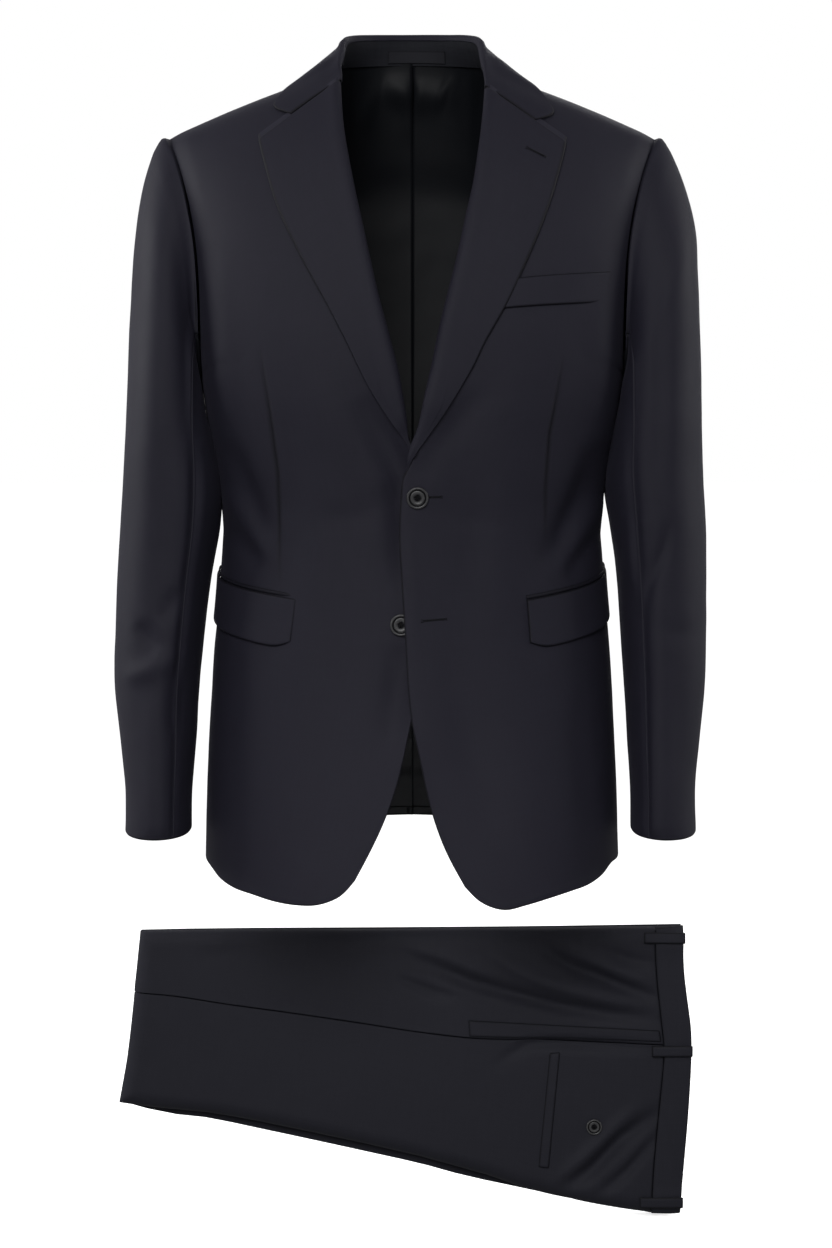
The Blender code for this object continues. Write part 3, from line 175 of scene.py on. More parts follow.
def weave_group():
    """Twill of crossing yarns on the cloth's own map: their height, their tone, and the painted shade line along
    edges and seams.
    """
    group, given, out = new_group(
        "twill_weave", (("Yarns per metre", 2400.0), ("Slub", 0.5)), ("Height", "Tone", "Painted edge shade"))
    cloth_map = group.nodes.new("ShaderNodeUVMap")
    cloth_map.uv_map = "cloth"
    apart = group.nodes.new("ShaderNodeSeparateXYZ")
    group.links.new(cloth_map.outputs[0], apart.inputs[0])
    yarns = given.outputs["Yarns per metre"]
    warp = maths(group, "MULTIPLY", apart.outputs[0], yarns)
    weft = maths(group, "MULTIPLY", apart.outputs[1], yarns)
    rib = maths(group, "SINE", maths(group, "MULTIPLY", maths(group, "ADD", warp, weft), math.pi))
    warp_round = maths(group, "SINE", maths(group, "MULTIPLY", warp, 2.0 * math.pi))
    weft_round = maths(group, "SINE", maths(group, "MULTIPLY", weft, 2.0 * math.pi))
    yarn = maths(group, "MULTIPLY", maths(group, "ADD", warp_round, weft_round), 0.25)
    height = maths(group, "ADD", yarn, maths(group, "MULTIPLY", rib, 0.5))
    tones = []
    for across, along in ((1.0, 0.035), (0.035, 1.0)):
        stretch = group.nodes.new("ShaderNodeMapping")
        stretch.inputs["Scale"].default_value = (across, along, 1.0)
        group.links.new(cloth_map.outputs[0], stretch.inputs[0])
        streak = group.nodes.new("ShaderNodeTexNoise")
        dial(streak, Scale=900.0, Detail=2.0)
        group.links.new(stretch.outputs[0], streak.inputs["Vector"])
        tones.append(streak.outputs["Fac"])
    slub = maths(group, "MULTIPLY", maths(group, "SUBTRACT", maths(group, "ADD", *tones), 1.0),
                 given.outputs["Slub"])
    tone = maths(group, "ADD", maths(group, "MULTIPLY", rib, 0.22), maths(group, "ADD", slub, 0.5))
    # The point attribute that holds the painted shade line along edges and seams.
    painted_edge_shade_node = group.nodes.new("ShaderNodeAttribute")
    painted_edge_shade_node.attribute_name = "painted_edge_shade"
    wire(group, (height, out.inputs["Height"]), (tone, out.inputs["Tone"]),
         (painted_edge_shade_node.outputs["Fac"], out.inputs["Painted edge shade"]))
    return group


WEAVE = weave_group()


def mixed(tree, share, first, second):
    """Two colours mixed by a share; the first may be a socket."""
    mix = tree.nodes.new("ShaderNodeMix")
    mix.data_type = "RGBA"
    dial(mix, B=(*second, 1.0))
    if isinstance(first, tuple):
        dial(mix, A=(*first, 1.0))
    else:
        tree.links.new(first, mix.inputs["A"])
    tree.links.new(share, mix.inputs["Factor"])
    return mix.outputs["Result"]


PAINTED_EDGE_SHADE_DARK = 0.3    # how dark the painted shade line along edges and seams is, of the darker yarn


def cloth_finish(name, dark, light, roughness, sheen, tint, yarns=2400.0, slub=0.5, bump=0.35, depth=0.00012,
                 specular=0.3):
    """A woven finish between two yarn colours, with its weave as a bump, a soft sheen and a painted shade line along
    edges and seams.
    """
    made = bpy.data.materials.new(name)
    made.use_nodes = True
    tree = made.node_tree
    shader = tree.nodes["Principled BSDF"]
    dial(shader, Roughness=roughness, Specular_IOR_Level=specular, Sheen_Weight=sheen, Sheen_Roughness=0.4,
         Sheen_Tint=(*tint, 1.0))
    weave = tree.nodes.new("ShaderNodeGroup")
    weave.node_tree = WEAVE
    dial(weave, Yarns_per_metre=yarns, Slub=slub)
    yarn = mixed(tree, weave.outputs["Tone"], dark, light)
    # The painted shade line along edges and seams darkens the yarn's colour.
    edge = mixed(tree, weave.outputs["Painted edge shade"], yarn, tuple(value * PAINTED_EDGE_SHADE_DARK for value in dark))
    press = tree.nodes.new("ShaderNodeBump")
    dial(press, Strength=bump, Distance=depth)
    wire(tree, (edge, shader.inputs["Base Color"]), (weave.outputs["Height"], press.inputs["Height"]),
         (press.outputs["Normal"], shader.inputs["Normal"]))
    return made


JACKET_CLOTH = cloth_finish("jacket_worsted", (0.0079, 0.0075, 0.0125), (0.0136, 0.0130, 0.0207), 0.62, 0.02,
                            (0.75, 0.72, 1.0), specular=0.12)
LINING = cloth_finish("lining_satin", (0.0034, 0.0038, 0.0048), (0.0058, 0.0064, 0.0080), 0.48, 0.0,
                      (0.6, 0.7, 0.8), yarns=4200.0, slub=0.25, bump=0.2, depth=0.00004, specular=0.08)


# ---------------------------------------------------------------- fronts
# Left and right front, each cut in one from hem to shoulder: cloth on canvas, lined inside. A dart runs
# down from the chest, the edges are turned in, and the left front laps over the right one.
def parts_of(wall, is_rim, limit):
    """The wall's faces in groups, parted by its rim and by edges sharper than the limit."""
    done, groups = set(), []
    for seed in wall.faces:
        if seed in done or is_rim(seed):
            continue
        done.add(seed)
        group, waiting = [], [seed]
        while waiting:
            face = waiting.pop()
            group.append(face)
            for edge in face.edges:
                if edge.calc_face_angle(0.0) < limit:
                    for other in edge.link_faces:
                        if other not in done and not is_rim(other):
                            done.add(other)
                            waiting.append(other)
        groups.append(group)
    return groups


def around(uses):
    """The corners of a group's border in order."""
    near = {}
    for pair, faces in uses.items():
        if len(faces) == 1:
            a, b = pair
            near.setdefault(a, []).append(b)
            near.setdefault(b, []).append(a)
    loop, last = [min(near)], None
    while True:
        ways = [spot for spot in near[loop[-1]] if spot != last]
        last = loop[-1]
        if ways[0] == loop[0]:
            return loop
        loop.append(ways[0])


def walk(loop, start, step, columns, rows, uses):
    """The group's corners as rows, walked from one corner of its border, or None if it isn't the right one."""
    count = len(loop)
    lines = [[loop[(start + step * i) % count] for i in range(columns + 1)]]
    used = set()

    def third(a, b):
        """The third corner of the next face on that edge."""
        for face in uses.get(frozenset((a, b)), ()):
            if face not in used:
                used.add(face)
                return next(v.index for v in face.verts if v.index not in (a, b))

    for row in range(rows):
        line = [loop[(start - step * (row + 1)) % count]]
        for a, b in zip(lines[-1], lines[-1][1:]):
            spot = third(a, b)
            if spot is None:
                return None
            if spot == line[-1]:
                spot = third(b, line[-1])
            elif third(a, spot) != line[-1]:
                return None
            if spot is None:
                return None
            line.append(spot)
        lines.append(line)
    return lines


RIM_SHARE = 1.3                        # an edge shorter than this share of the wall belongs to the rim
SHARPEST_BEND = math.radians(58.0)     # of a panel's own face, where its rim isn't told by its short edges


def outer_points(node, columns, rows, across, up, wall_mm=1.8, front=False):
    """The outer face of a node's wall as rows of points, and whether rows and columns turn outwards.

    across and up are rough directions along a row and from row to row. The outer face is the larger one,
    or with front the one that looks forward."""
    wall = bmesh.new()
    wall.from_mesh(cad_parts[node].data)
    bmesh.ops.remove_doubles(wall, verts=wall.verts, dist=1e-6)
    wall.verts.index_update()
    wall.verts.ensure_lookup_table()
    wall.normal_update()
    short = wall_mm * RIM_SHARE * MM
    ways = ((lambda face: min(edge.calc_length() for edge in face.edges) < short, math.pi),
            (lambda face: False, SHARPEST_BEND))
    for is_rim, limit in ways:
        groups = [g for g in parts_of(wall, is_rim, limit) if len(g) == 2 * columns * rows]
        if groups:
            break
    size = (lambda g: -sum(f.normal.y * f.calc_area() for f in g)) if front else (
        lambda g: sum(f.calc_area() for f in g))
    group = max(groups, key=size)
    uses = {}
    for face in group:
        for edge in face.edges:
            uses.setdefault(frozenset(v.index for v in edge.verts), []).append(face)
    loop = around(uses)
    best, found = None, None
    for start in range(len(loop)):
        for step in (1, -1):
            lines = walk(loop, start, step, columns, rows, uses)
            if lines:
                corner, end, top = (wall.verts[i].co for i in (lines[0][0], lines[0][-1], lines[-1][0]))
                worth = (end - corner).normalized().dot(across) + (top - corner).normalized().dot(up)
                if best is None or worth > best:
                    best, found = worth, lines
    points = np.array([[wall.verts[i].co for i in line] for line in found])
    r, c = rows // 2, columns // 2
    turn = Vector(points[r][c + 1] - points[r][c]).cross(Vector(points[r + 1][c] - points[r][c]))
    outwards = turn.dot(wall.verts[found[r][c]].normal) > 0
    wall.free()
    return points, outwards


EDGE_STOPS = [0.0, 0.4 * MM, 1.0 * MM, 1.9 * MM, 3.2 * MM]
CLOSEST_STOPS = 0.2 * MM


def stops(length, step, bands=()):
    """Distances along a panel, crowded by its two edges and inside each band of (start, end, step)."""
    near = [p for p in EDGE_STOPS if p < length / 2]
    places = near + [length - p for p in near]
    count = max(2, round(length / step))
    clear = EDGE_STOPS[-1] + step * 0.4
    places += [length * i / count for i in range(1, count) if clear < length * i / count < length - clear]
    for start, end, fine in bands:
        places = [p for p in places if not start < p < end]
        many = max(1, round((end - start) / fine))
        within = [start + (end - start) * i / many for i in range(many + 1)]
        places += [place for place in within if 0 < place < length]
    places = sorted(places)
    return [p for i, p in enumerate(places) if i == 0 or p - places[i - 1] > CLOSEST_STOPS]


def through(points, marks, places):
    """Smooth lines through rows of points, read at distances along them."""
    gaps = np.diff(marks)
    slopes = np.diff(points, axis=0) / gaps[:, None, None]
    turn = np.empty_like(points)
    if len(points) == 2:
        turn[:] = slopes[0]
    else:
        turn[1:-1] = ((slopes[:-1] * gaps[1:, None, None] + slopes[1:] * gaps[:-1, None, None])
                      / (gaps[:-1] + gaps[1:])[:, None, None])
        turn[0], turn[-1] = 1.5 * slopes[0] - 0.5 * turn[1], 1.5 * slopes[-1] - 0.5 * turn[-2]
    span = np.clip(np.searchsorted(marks, places, side="right") - 1, 0, len(gaps) - 1)
    gap = gaps[span]
    t = ((places - marks[span]) / gap)[:, None, None]
    a, b, m, n = points[span], points[span + 1], turn[span] * gap[:, None, None], turn[span + 1] * gap[:, None, None]
    return ((2 * t ** 3 - 3 * t ** 2 + 1) * a + (t ** 3 - 2 * t ** 2 + t) * m
            + (3 * t ** 2 - 2 * t ** 3) * b + (t ** 3 - t ** 2) * n)


def marks_of(points):
    """Distances of the rows of a panel from its first row."""
    return np.concatenate(([0.0], np.cumsum(np.linalg.norm(np.diff(points, axis=0), axis=2).mean(axis=1))))


def finer(points, step, row_bands=(), column_bands=()):
    """The panel at a finer step, with the distances of its rows and columns."""
    marks = marks_of(points)
    rows = np.array(stops(marks[-1], step, row_bands))
    points = through(points, marks, rows)
    turned = points.transpose(1, 0, 2)
    marks = marks_of(turned)
    columns = np.array(stops(marks[-1], step, column_bands))
    return through(turned, marks, columns).transpose(1, 0, 2), rows, columns


def normals_of(points, outwards):
    """The outward direction at each point of a panel."""
    along, up = np.gradient(points, axis=1), np.gradient(points, axis=0)
    normal = np.cross(along, up) * (1.0 if outwards else -1.0)
    return normal / np.maximum(np.linalg.norm(normal, axis=2, keepdims=True), 1e-12)


def folds(flat, table):
    """Height in metres that soft folds add at places of a flat picture of a panel, both in mm.

    A fold is its line of places, its height, and its width; it is full along its middle and fades to its
    ends. Troughs have a height below zero."""
    lift = np.zeros(flat.shape[:-1])
    for line, height, width in table:
        line = np.array(line, float)
        lengths = np.linalg.norm(np.diff(line, axis=0), axis=1)
        reach = np.concatenate(([0.0], np.cumsum(lengths)))
        nearest = np.full(lift.shape, 1e9)
        share = np.zeros(lift.shape)
        for i, length in enumerate(lengths):
            way = (line[i + 1] - line[i]) / length
            along = np.clip((flat - line[i]) @ way, 0.0, length)
            away = np.linalg.norm(flat - line[i] - along[..., None] * way, axis=-1)
            closer = away < nearest
            nearest = np.where(closer, away, nearest)
            share = np.where(closer, (reach[i] + along) / reach[-1], share)
        fade = np.sin(np.pi * np.clip(share, 0.02, 0.98)) ** 0.7
        lift += height * MM * np.exp(-(nearest / width) ** 2) * fade
    return lift


BUMP_SIZE, FINE_BUMPS, FINE_SHARE = 0.055, 2.3, 0.4    # m; the finer bumps' frequency and their share
BUMP_SHIFT = (3.7, 1.3, 2.1)                           # bumps from one seed to the next


def uneven(points, amount, seed):
    """A soft unevenness of pressed cloth, in metres, of that amount in mm."""
    lift = np.empty(points.shape[:2])
    shift = Vector([seed * by for by in BUMP_SHIFT])
    for i, line in enumerate(points):
        for j, point in enumerate(line):
            place = Vector(point) / BUMP_SIZE + shift
            lift[i, j] = noise.noise(place) + FINE_SHARE * noise.noise(place * FINE_BUMPS)
    return lift * amount * MM


SEAM, TURNED, OPEN = (0.6, 1.8), (0.9, 1.6), (0.0, 1.0)    # a border's dip and its width, mm; the dip also sets how dark its painted shade line is
EDGE_DIP, EDGE_WIDTH = 0.9, 1.2 * MM    # the dip of a border pressed flat, at which its painted shade line is full, and how wide that painted shade line is
QUIET_BORDER = 9.0 * MM                 # folds fade over this width beside a border with a dip
LAP_FROM, LAP_LEAN = 4.0 * MM, 0.25     # where a lap takes its direction, and how far it leans out as it drops
THINNEST_SHEET, LEAST_CUT = 0.01, 0.31  # m across the flat sheet, and the least share of it that the cut keeps


def lapped(points, rows, columns, normals, edges, side, lap, drop, tuck):
    """The panel with two more lines beyond one border, dropping inwards and running on under its neighbour."""
    def turned(points, rows, columns, normals, edges):
        """Rows for columns."""
        return points.transpose(1, 0, 2), columns, rows, normals.transpose(1, 0, 2), edges.T

    def upended(points, rows, columns, normals, edges):
        """Last row first."""
        return points[::-1], rows[-1] - rows[::-1], columns, normals[::-1], edges[::-1]

    by_columns, at_end = side > 1, side in (1, 3)
    panel = points, rows, columns, normals, edges
    if by_columns:
        panel = turned(*panel)
    if at_end:
        panel = upended(*panel)
    points, rows, columns, normals, edges = panel
    near = np.searchsorted(rows, LAP_FROM)
    out = points[0] - points[near]
    out = out - normals[near] * np.sum(out * normals[near], axis=1, keepdims=True)
    out = out / np.maximum(np.linalg.norm(out, axis=1, keepdims=True), 1e-9)
    inner = points[0] + out * (LAP_LEAN * drop) - normals[near] * drop
    outer = inner + (out - normals[near] * tuck) * lap
    points = np.concatenate((outer[None], inner[None], points))
    normals = np.concatenate((normals[near][None], normals[near][None], normals))
    edges = np.concatenate((edges[near][None], edges[near][None], edges))
    rows = np.concatenate(([0.0, lap], rows + lap + abs(drop)))
    panel = points, rows, columns, normals, edges
    if at_end:
        panel = upended(*panel)
    return turned(*panel) if by_columns else panel


def sew(name, node, points, outwards, rows, columns, finish, inside=None, wall=1.2, borders=(TURNED,) * 4,
        lift=0.0, cloth_slot="jacket_cloth", seed=1, wave=0.5, held="hung", rests_on=(), laps=(0, 0, 0, 0),
        drop=1.5, tuck=0.0, painted_seam_shade=0.0):
    """Makes a panel in a node's place: its points lifted by folds, dipped at its borders, a wall behind it.

    borders and laps are for foot, top, first column and last column. A lap is how far the panel's seam
    allowance, in mm, goes on under its neighbour, dropped inwards, and tuck is how steeply it goes on inwards.
    Its last argument is painted shade along darts and seams inside the panel, 1 where it is darkest."""
    normals = normals_of(points, outwards)
    height = uneven(points, wave, seed) + lift
    away = (rows[:, None], (rows[-1] - rows)[:, None], columns[None], (columns[-1] - columns)[None])
    for distance, (dip, width) in zip(away, borders):
        if dip:
            height = height * np.clip(distance / QUIET_BORDER, 0.15, 1.0)
    for distance, (dip, width) in zip(away, borders):
        if dip:
            height = height - dip * MM * np.clip(1.0 - distance / (width * MM), 0.0, 1.0) ** 2
    # Painted shade: a dark line along each border by its dip, and along darts and seams inside the panel, kept on
    # the points to darken the cloth's colour.
    edges = np.zeros(points.shape[:2]) + painted_seam_shade
    for distance, (dip, width) in zip(away, borders):
        edges = np.maximum(edges, min(1.0, dip / EDGE_DIP) * np.clip(1.4 - distance / EDGE_WIDTH, 0.0, 1.0))
    points = points + normals * height[..., None]
    for side, lap in enumerate(laps):
        if lap:
            points, rows, columns, normals, edges = lapped(points, rows, columns, normals, edges, side, lap * MM,
                                                           drop * MM, tuck)
    form = bmesh.new()
    bmesh.ops.create_grid(form, x_segments=len(columns) - 1, y_segments=len(rows) - 1, size=1.0)
    for vert, place in zip(form.verts, points.reshape(-1, 3)):
        vert.co = place
    if not outwards:
        bmesh.ops.reverse_faces(form, faces=form.faces)
    mesh = bpy.data.meshes.new(name)
    form.to_mesh(mesh)
    form.free()
    spots = np.empty(len(mesh.loops), int)
    mesh.loops.foreach_get("vertex_index", spots)
    across, up = np.meshgrid(columns, rows)
    flat = np.stack((across.ravel()[spots], up.ravel()[spots]), axis=1)
    mesh.uv_layers.new(name="cloth").data.foreach_set("uv", flat.ravel())
    # Painted shade along edges and seams, kept on the points for the cloth's colour.
    mesh.attributes.new("painted_edge_shade", "FLOAT", "POINT").data.foreach_set("value", edges.ravel())
    mesh.shade_smooth()
    mesh.materials.append(finish)
    piece = stand(name, mesh)
    shell = piece.modifiers.new("wall", "SOLIDIFY")
    shell.thickness = wall * MM
    shell.offset = -1.0
    if inside:
        mesh.materials.append(inside)
        shell.material_offset = 1
    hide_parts(node)
    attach(piece, "root")
    width, length = float(columns[-1]), float(rows[-1])
    flat = (max(THINNEST_SHEET, round(width, 3)), max(THINNEST_SHEET, round(length, 3)))
    return piece


def dress(name, node, columns, rows, across, up, step, finish, thick=1.8, front=False, **more):
    """Sews a panel on a node's outer face as it is. columns and rows are the node's, thick its wall in mm."""
    points, outwards = outer_points(node, columns, rows, across, up, thick, front)
    points, rows, columns = finer(points, step * MM)
    return sew(name, node, points, outwards, rows, columns, finish, **more)


UP = Vector((0.0, 0.0, 1.0))
SIDES = ((1, "left"), (-1, "right"))
DARTS = {    # down each front: a line of places (x, z), its height and its width, all in mm
    1: [(((133.5, -270), (128, -305), (122, -339), (119, -387), (120, -430)), -1.6, 1.6)],
    -1: [(((-134, -264), (-125.5, -320), (-119, -373), (-118.5, -430), (-117.5, -471)), -1.6, 1.6)],
}
FRONT_FOLDS = {    # as the darts; a trough's height is below zero
    1: [
        (((20, -400), (48, -412), (80, -418)), -1.0, 9.0),
        (((62, -296), (42, -322), (22, -350), (8, -382)), -3.2, 12.0),
        (((84, -300), (86, -378), (78, -448), (69, -545)), 2.6, 24.0),
        (((174, -340), (154, -395), (133, -434), (112, -456)), -7.5, 13.0),
        (((172, -392), (152, -424), (128, -462)), 4.0, 9.0),
        (((173, -420), (158, -442), (138, -464)), -3.4, 8.0),
        (((171, -170), (169, -250), (171, -330), (168, -395)), 4.0, 14.0),
        (((-6, -374), (-4, -440), (-2, -520), (0, -580)), 1.8, 9.0),
        (((96, -564), (105, -644), (114, -715)), 1.2, 20.0),
        (((48, -572), (61, -662), (78, -715)), -1.2, 18.0),
        (((145, -564), (154, -653), (160, -715)), -1.6, 12.0),
    ],
    -1: [
        (((-12, -392), (-44, -408), (-84, -414)), -1.0, 10.0),
        (((-48, -300), (-26, -338), (-9, -374), (-7, -420), (-6, -486)), -10.0, 15.0),
        (((-8, -520), (-12, -560), (-20, -612)), -5.0, 13.0),
        (((-96, -205), (-80, -290), (-76, -369), (-82, -448), (-99, -537), (-108, -655)), 3.6, 22.0),
        (((-170, -340), (-148, -386), (-126, -434)), -4.6, 12.0),
        (((-172, -416), (-150, -440), (-130, -458)), -3.2, 9.0),
        (((-170, -384), (-146, -418), (-124, -452)), 3.0, 8.0),
        (((-126, -564), (-130, -662), (-133, -724)), 1.5, 18.0),
        (((-72, -564), (-83, -662), (-89, -715)), -1.2, 20.0),
        (((-172, -170), (-169, -250), (-168, -330), (-165, -390)), 4.0, 14.0),
    ],
}
EASE = {    # across, in mm, by height: at the roll line and front edge, and at the lapel's outer edge
    1: (((-110, 3.0), (-140, 1.2), (-200, 1.0), (-237, 1.9), (-273, 3.9), (-300, 4.6), (-340, 5.2),
         (-357, 5.0), (-376, 0.0)),
        ((-110, 0.4), (-200, 0.3), (-273, 1.4), (-325, 2.0), (-357, 2.0), (-376, 0.0))),
    -1: (((-120, -4.2), (-150, -3.4), (-220, -3.4), (-245, -2.2), (-290, -2.0), (-320, -3.6),
          (-352, -4.2), (-384, 0.0)),
         ((-225, 0.0), (-300, -5.2), (-352, -5.2), (-384, 0.0))),
}
EASE_BLUR = (-12, -6, 0, 6, 12)                    # mm up and down that each place of a line is read over
EASE_REACH = {1: (4.0, 26.0), -1: (40.0, 75.0)}    # mm from a front's edge, full and ended
ROLL_FOOT, ROLL_FOOT_SIZE, ROLL_FOOT_IN = (-6.0, -377.0), (16.0, 9.0), 1.6    # mm: the left edge where the roll ends
DART_SHADE, DART_SHADE_MOST = 600.0, 0.9           # painted shade along a dart for each metre of its depth, and at most
DART_BAND = (0.096, 0.152, 1.3 * MM)               # m from the front edge, where the darts need a fine step


def eased(points, side, share, edge=0):
    """Points set across by a line of EASE, each by its share."""
    heights, across = np.array(EASE[side][edge][::-1]).T
    z = points[..., 2] / MM
    far = np.mean([np.interp(z + step, heights, across) for step in EASE_BLUR], axis=0)
    moved = points.copy()
    moved[..., 0] += far * share * MM
    return moved


for side, name in SIDES:
    points, outwards = outer_points("front_" + name, 11, 24, Vector((side, 0, 0)), UP)
    points, rows, columns = finer(points, 4.5 * MM, column_bands=(DART_BAND,))
    near, end = EASE_REACH[side]
    points = eased(points, side, np.clip((end - columns / MM) / (end - near), 0.0, 1.0) ** 1.5)
    if side > 0:
        from_foot = (points[..., ::2] / MM - ROLL_FOOT) / ROLL_FOOT_SIZE
        points[..., 0] -= ROLL_FOOT_IN * MM * np.exp(-np.sum(from_foot ** 2, axis=-1))
    flat = points[..., ::2] / MM
    # Painted shade along each dart, darker where its trough is deeper.
    shade = np.clip(-DART_SHADE * folds(flat, DARTS[side]), 0.0, DART_SHADE_MOST)
    sew("front_%s_cloth" % name, "front_" + name, points, outwards, rows, columns, JACKET_CLOTH, LINING,
        borders=(TURNED, SEAM, TURNED, (0.35, 1.3)), lift=folds(flat, FRONT_FOLDS[side] + DARTS[side]),
        seed=side + 2, painted_seam_shade=shade, laps=(0, 5, 0, 0), drop=0.8)

# ---------------------------------------------------------------- sides and back
# The panel under each arm and the two halves of the back, joined by the middle back seam: the same cloth,
# lined inside. The seams are pressed open, so each shows as a shallow groove.
BACK_UNEVEN = 0.12    # how much more the left half's folds are, and less the right's
BACK_FOLDS = [    # x to one side, z, height, width
    (((150, -352), (120, -384), (92, -402)), -1.4, 11.0),
    (((152, -378), (128, -402), (98, -418)), 3.0, 10.0),
    (((150, -412), (132, -430), (108, -440)), -1.2, 8.0),
    (((128, -150), (136, -220), (140, -300)), -2.2, 11.0),
    (((104, -160), (110, -240), (112, -320)), 1.6, 15.0),
    (((40, -60), (66, -110), (80, -170)), -1.2, 14.0),
    (((92, -480), (100, -580), (106, -700)), 1.6, 18.0),
    (((60, -480), (66, -580), (72, -700)), -1.4, 18.0),
    (((20, -60), (50, -66), (84, -80)), -1.0, 8.0),
]
ROUND_NECK = Vector((-1, 0, 0))
neck_line = outer_points("collar_stand", 2, 22, UP, ROUND_NECK)[0][:, 0]    # the stand's foot, end to end
NECK_MIDDLE = np.array([0.0, 0.030])
NECK_SPREAD, NECK_SPREAD_FROM = 0.62, 0.002     # how much wider the neck's clear room is for each metre below
NECK_FADE_FOOT, NECK_FADE_HEIGHT = -0.070, 0.035    # m: where the move starts, and over what height


def clear_of_neck(points, room):
    """A panel whose places inside the neck are moved level, out to that far beyond the stand's foot."""
    ring, way = neck_line[:, :2] - NECK_MIDDLE, points[..., :2] - NECK_MIDDLE
    order = np.argsort(np.arctan2(ring[:, 0], ring[:, 1]))
    least = room + np.interp(np.arctan2(way[..., 0], way[..., 1]), np.arctan2(ring[:, 0], ring[:, 1])[order],
                             np.hypot(ring[:, 0], ring[:, 1])[order])
    least = least + NECK_SPREAD * np.maximum(0.0, NECK_SPREAD_FROM - points[..., 2])
    reach = np.hypot(way[..., 0], way[..., 1])
    share = np.clip((points[..., 2] - NECK_FADE_FOOT) / NECK_FADE_HEIGHT, 0.0, 1.0)
    share = share * share * (3.0 - 2.0 * share)
    moved = points.copy()
    moved[..., :2] = NECK_MIDDLE + way * (1.0 + share * np.maximum(least / reach - 1.0, 0.0))[..., None]
    return moved


for side, name in SIDES:
    dress("side_%s_cloth" % name, "side_" + name, 4, 15, Vector((0, 1, 0)), UP, 4.5, JACKET_CLOTH,
          inside=LINING, borders=(TURNED, SEAM, SEAM, SEAM), seed=side + 5, laps=(0, 5, 4, 4))
    points, outwards = outer_points("back_" + name, 8, 24, Vector((side, 0, 0)), UP)
    points, rows, columns = finer(points, 4.5 * MM)
    points = clear_of_neck(points, 3.0 * MM)
    lift = folds(points[..., ::2] / MM * (side, 1.0), BACK_FOLDS) * (1.0 + BACK_UNEVEN * side)
    sew("back_%s_cloth" % name, "back_" + name, points, outwards, rows, columns, JACKET_CLOTH, LINING, lift=lift,
        borders=(TURNED, SEAM, SEAM, SEAM), seed=side + 8, laps=(0, 0, 5 if side > 0 else 0, 8), drop=0.45)

# ---------------------------------------------------------------- back lining
# Black satin behind the back, seen through the neck and under the front edges, with an ease pleat down
# its middle.
PLEAT_OPEN = 2.6      # mm that the pleat's fold stands out at the neck
LINING_FOLDS = {      # the ease drawn in at the neck seam: x to one side, z, height, width
    1: [(((0, -18), (12, -20), (34, -24)), 4.0, 13.0), (((6, -4), (7, -18), (4, -38)), 1.6, 5.0),
        (((38, -2), (32, -14), (24, -30)), 2.2, 4.5), (((50, -4), (46, -16), (40, -30)), 1.4, 5.0),
        (((-10, -667), (40, -668), (90, -667)), 2.6, 6.0)],
    -1: [(((-4, -18), (8, -18), (28, -14)), 5.6, 13.0), (((3, -8), (5, -26), (4, -60)), 1.6, 6.0),
         (((26, -10), (40, -28), (50, -56)), 1.6, 8.0), (((-10, -667), (40, -666), (90, -667)), 2.6, 6.0)],
}
OVERLAP = 1.0         # mm that the right half goes over the middle
LINING_RISE, LINING_TO_NECK, LINING_EASED = 4.0, 0.9, 4    # mm over the stand's foot and out of it; rows eased
LINING_NECK_HALF, LINING_MIDDLE = 0.08, 0.01    # m: half of the stretch that meets the stand, and its middle
for side, name in SIDES:
    points, outwards = outer_points("lining_back_" + name, 8, 22, Vector((side, 0, 0)), UP, 1.0)
    for column in range(points.shape[1]):
        spot = points[-1, column]
        if abs(spot[0]) < LINING_NECK_HALF:
            at = neck_line[np.argmin(np.hypot(neck_line[:, 0] - spot[0], neck_line[:, 1] - spot[1]))].copy()
            at[0] = spot[0] if abs(spot[0]) < LINING_MIDDLE else (spot[0] + at[0]) / 2.0
            away = np.array([at[0], at[1], 0.0]) / np.hypot(at[0], at[1])
            top = at + away * LINING_TO_NECK * MM + np.array([0.0, 0.0, LINING_RISE * MM])
            low = points[-1 - LINING_EASED, column].copy()
            for step in range(1, LINING_EASED + 1):
                points[step - LINING_EASED - 1, column] = low + (top - low) * step / LINING_EASED
    points, rows, columns = finer(points, 4.5 * MM, column_bands=((0.0, 0.05, 2.0 * MM),))
    by_fold = columns if np.abs(points[0, 0, 0]) < np.abs(points[0, -1, 0]) else columns[-1] - columns
    if side < 0:
        points[..., 0] += OVERLAP * MM * np.exp(-(by_fold / 0.008) ** 2)[None]
    from_top = rows[-1] - rows
    pleat = np.exp(-(by_fold / 0.010) ** 2)[None] * np.exp(-(from_top / 0.060) ** 2)[:, None]
    lift = (PLEAT_OPEN if side < 0 else 0.4) * MM * pleat
    lift = lift + (0.2 if side < 0 else 0.0) * MM * np.exp(-(by_fold / 0.006) ** 2)[None]
    lift = lift + folds(points[..., ::2] / MM * (side, 1.0), LINING_FOLDS[side])
    sew("lining_%s_satin" % name, "lining_back_" + name, points, outwards, rows, columns, LINING, wall=0.6,
        borders=(TURNED, OPEN, OPEN, OPEN), cloth_slot="lining", seed=side + 11, lift=-lift, wave=0.9,
        laps=(0, 0, 12 if side > 0 else 0, 0), drop=-0.4)

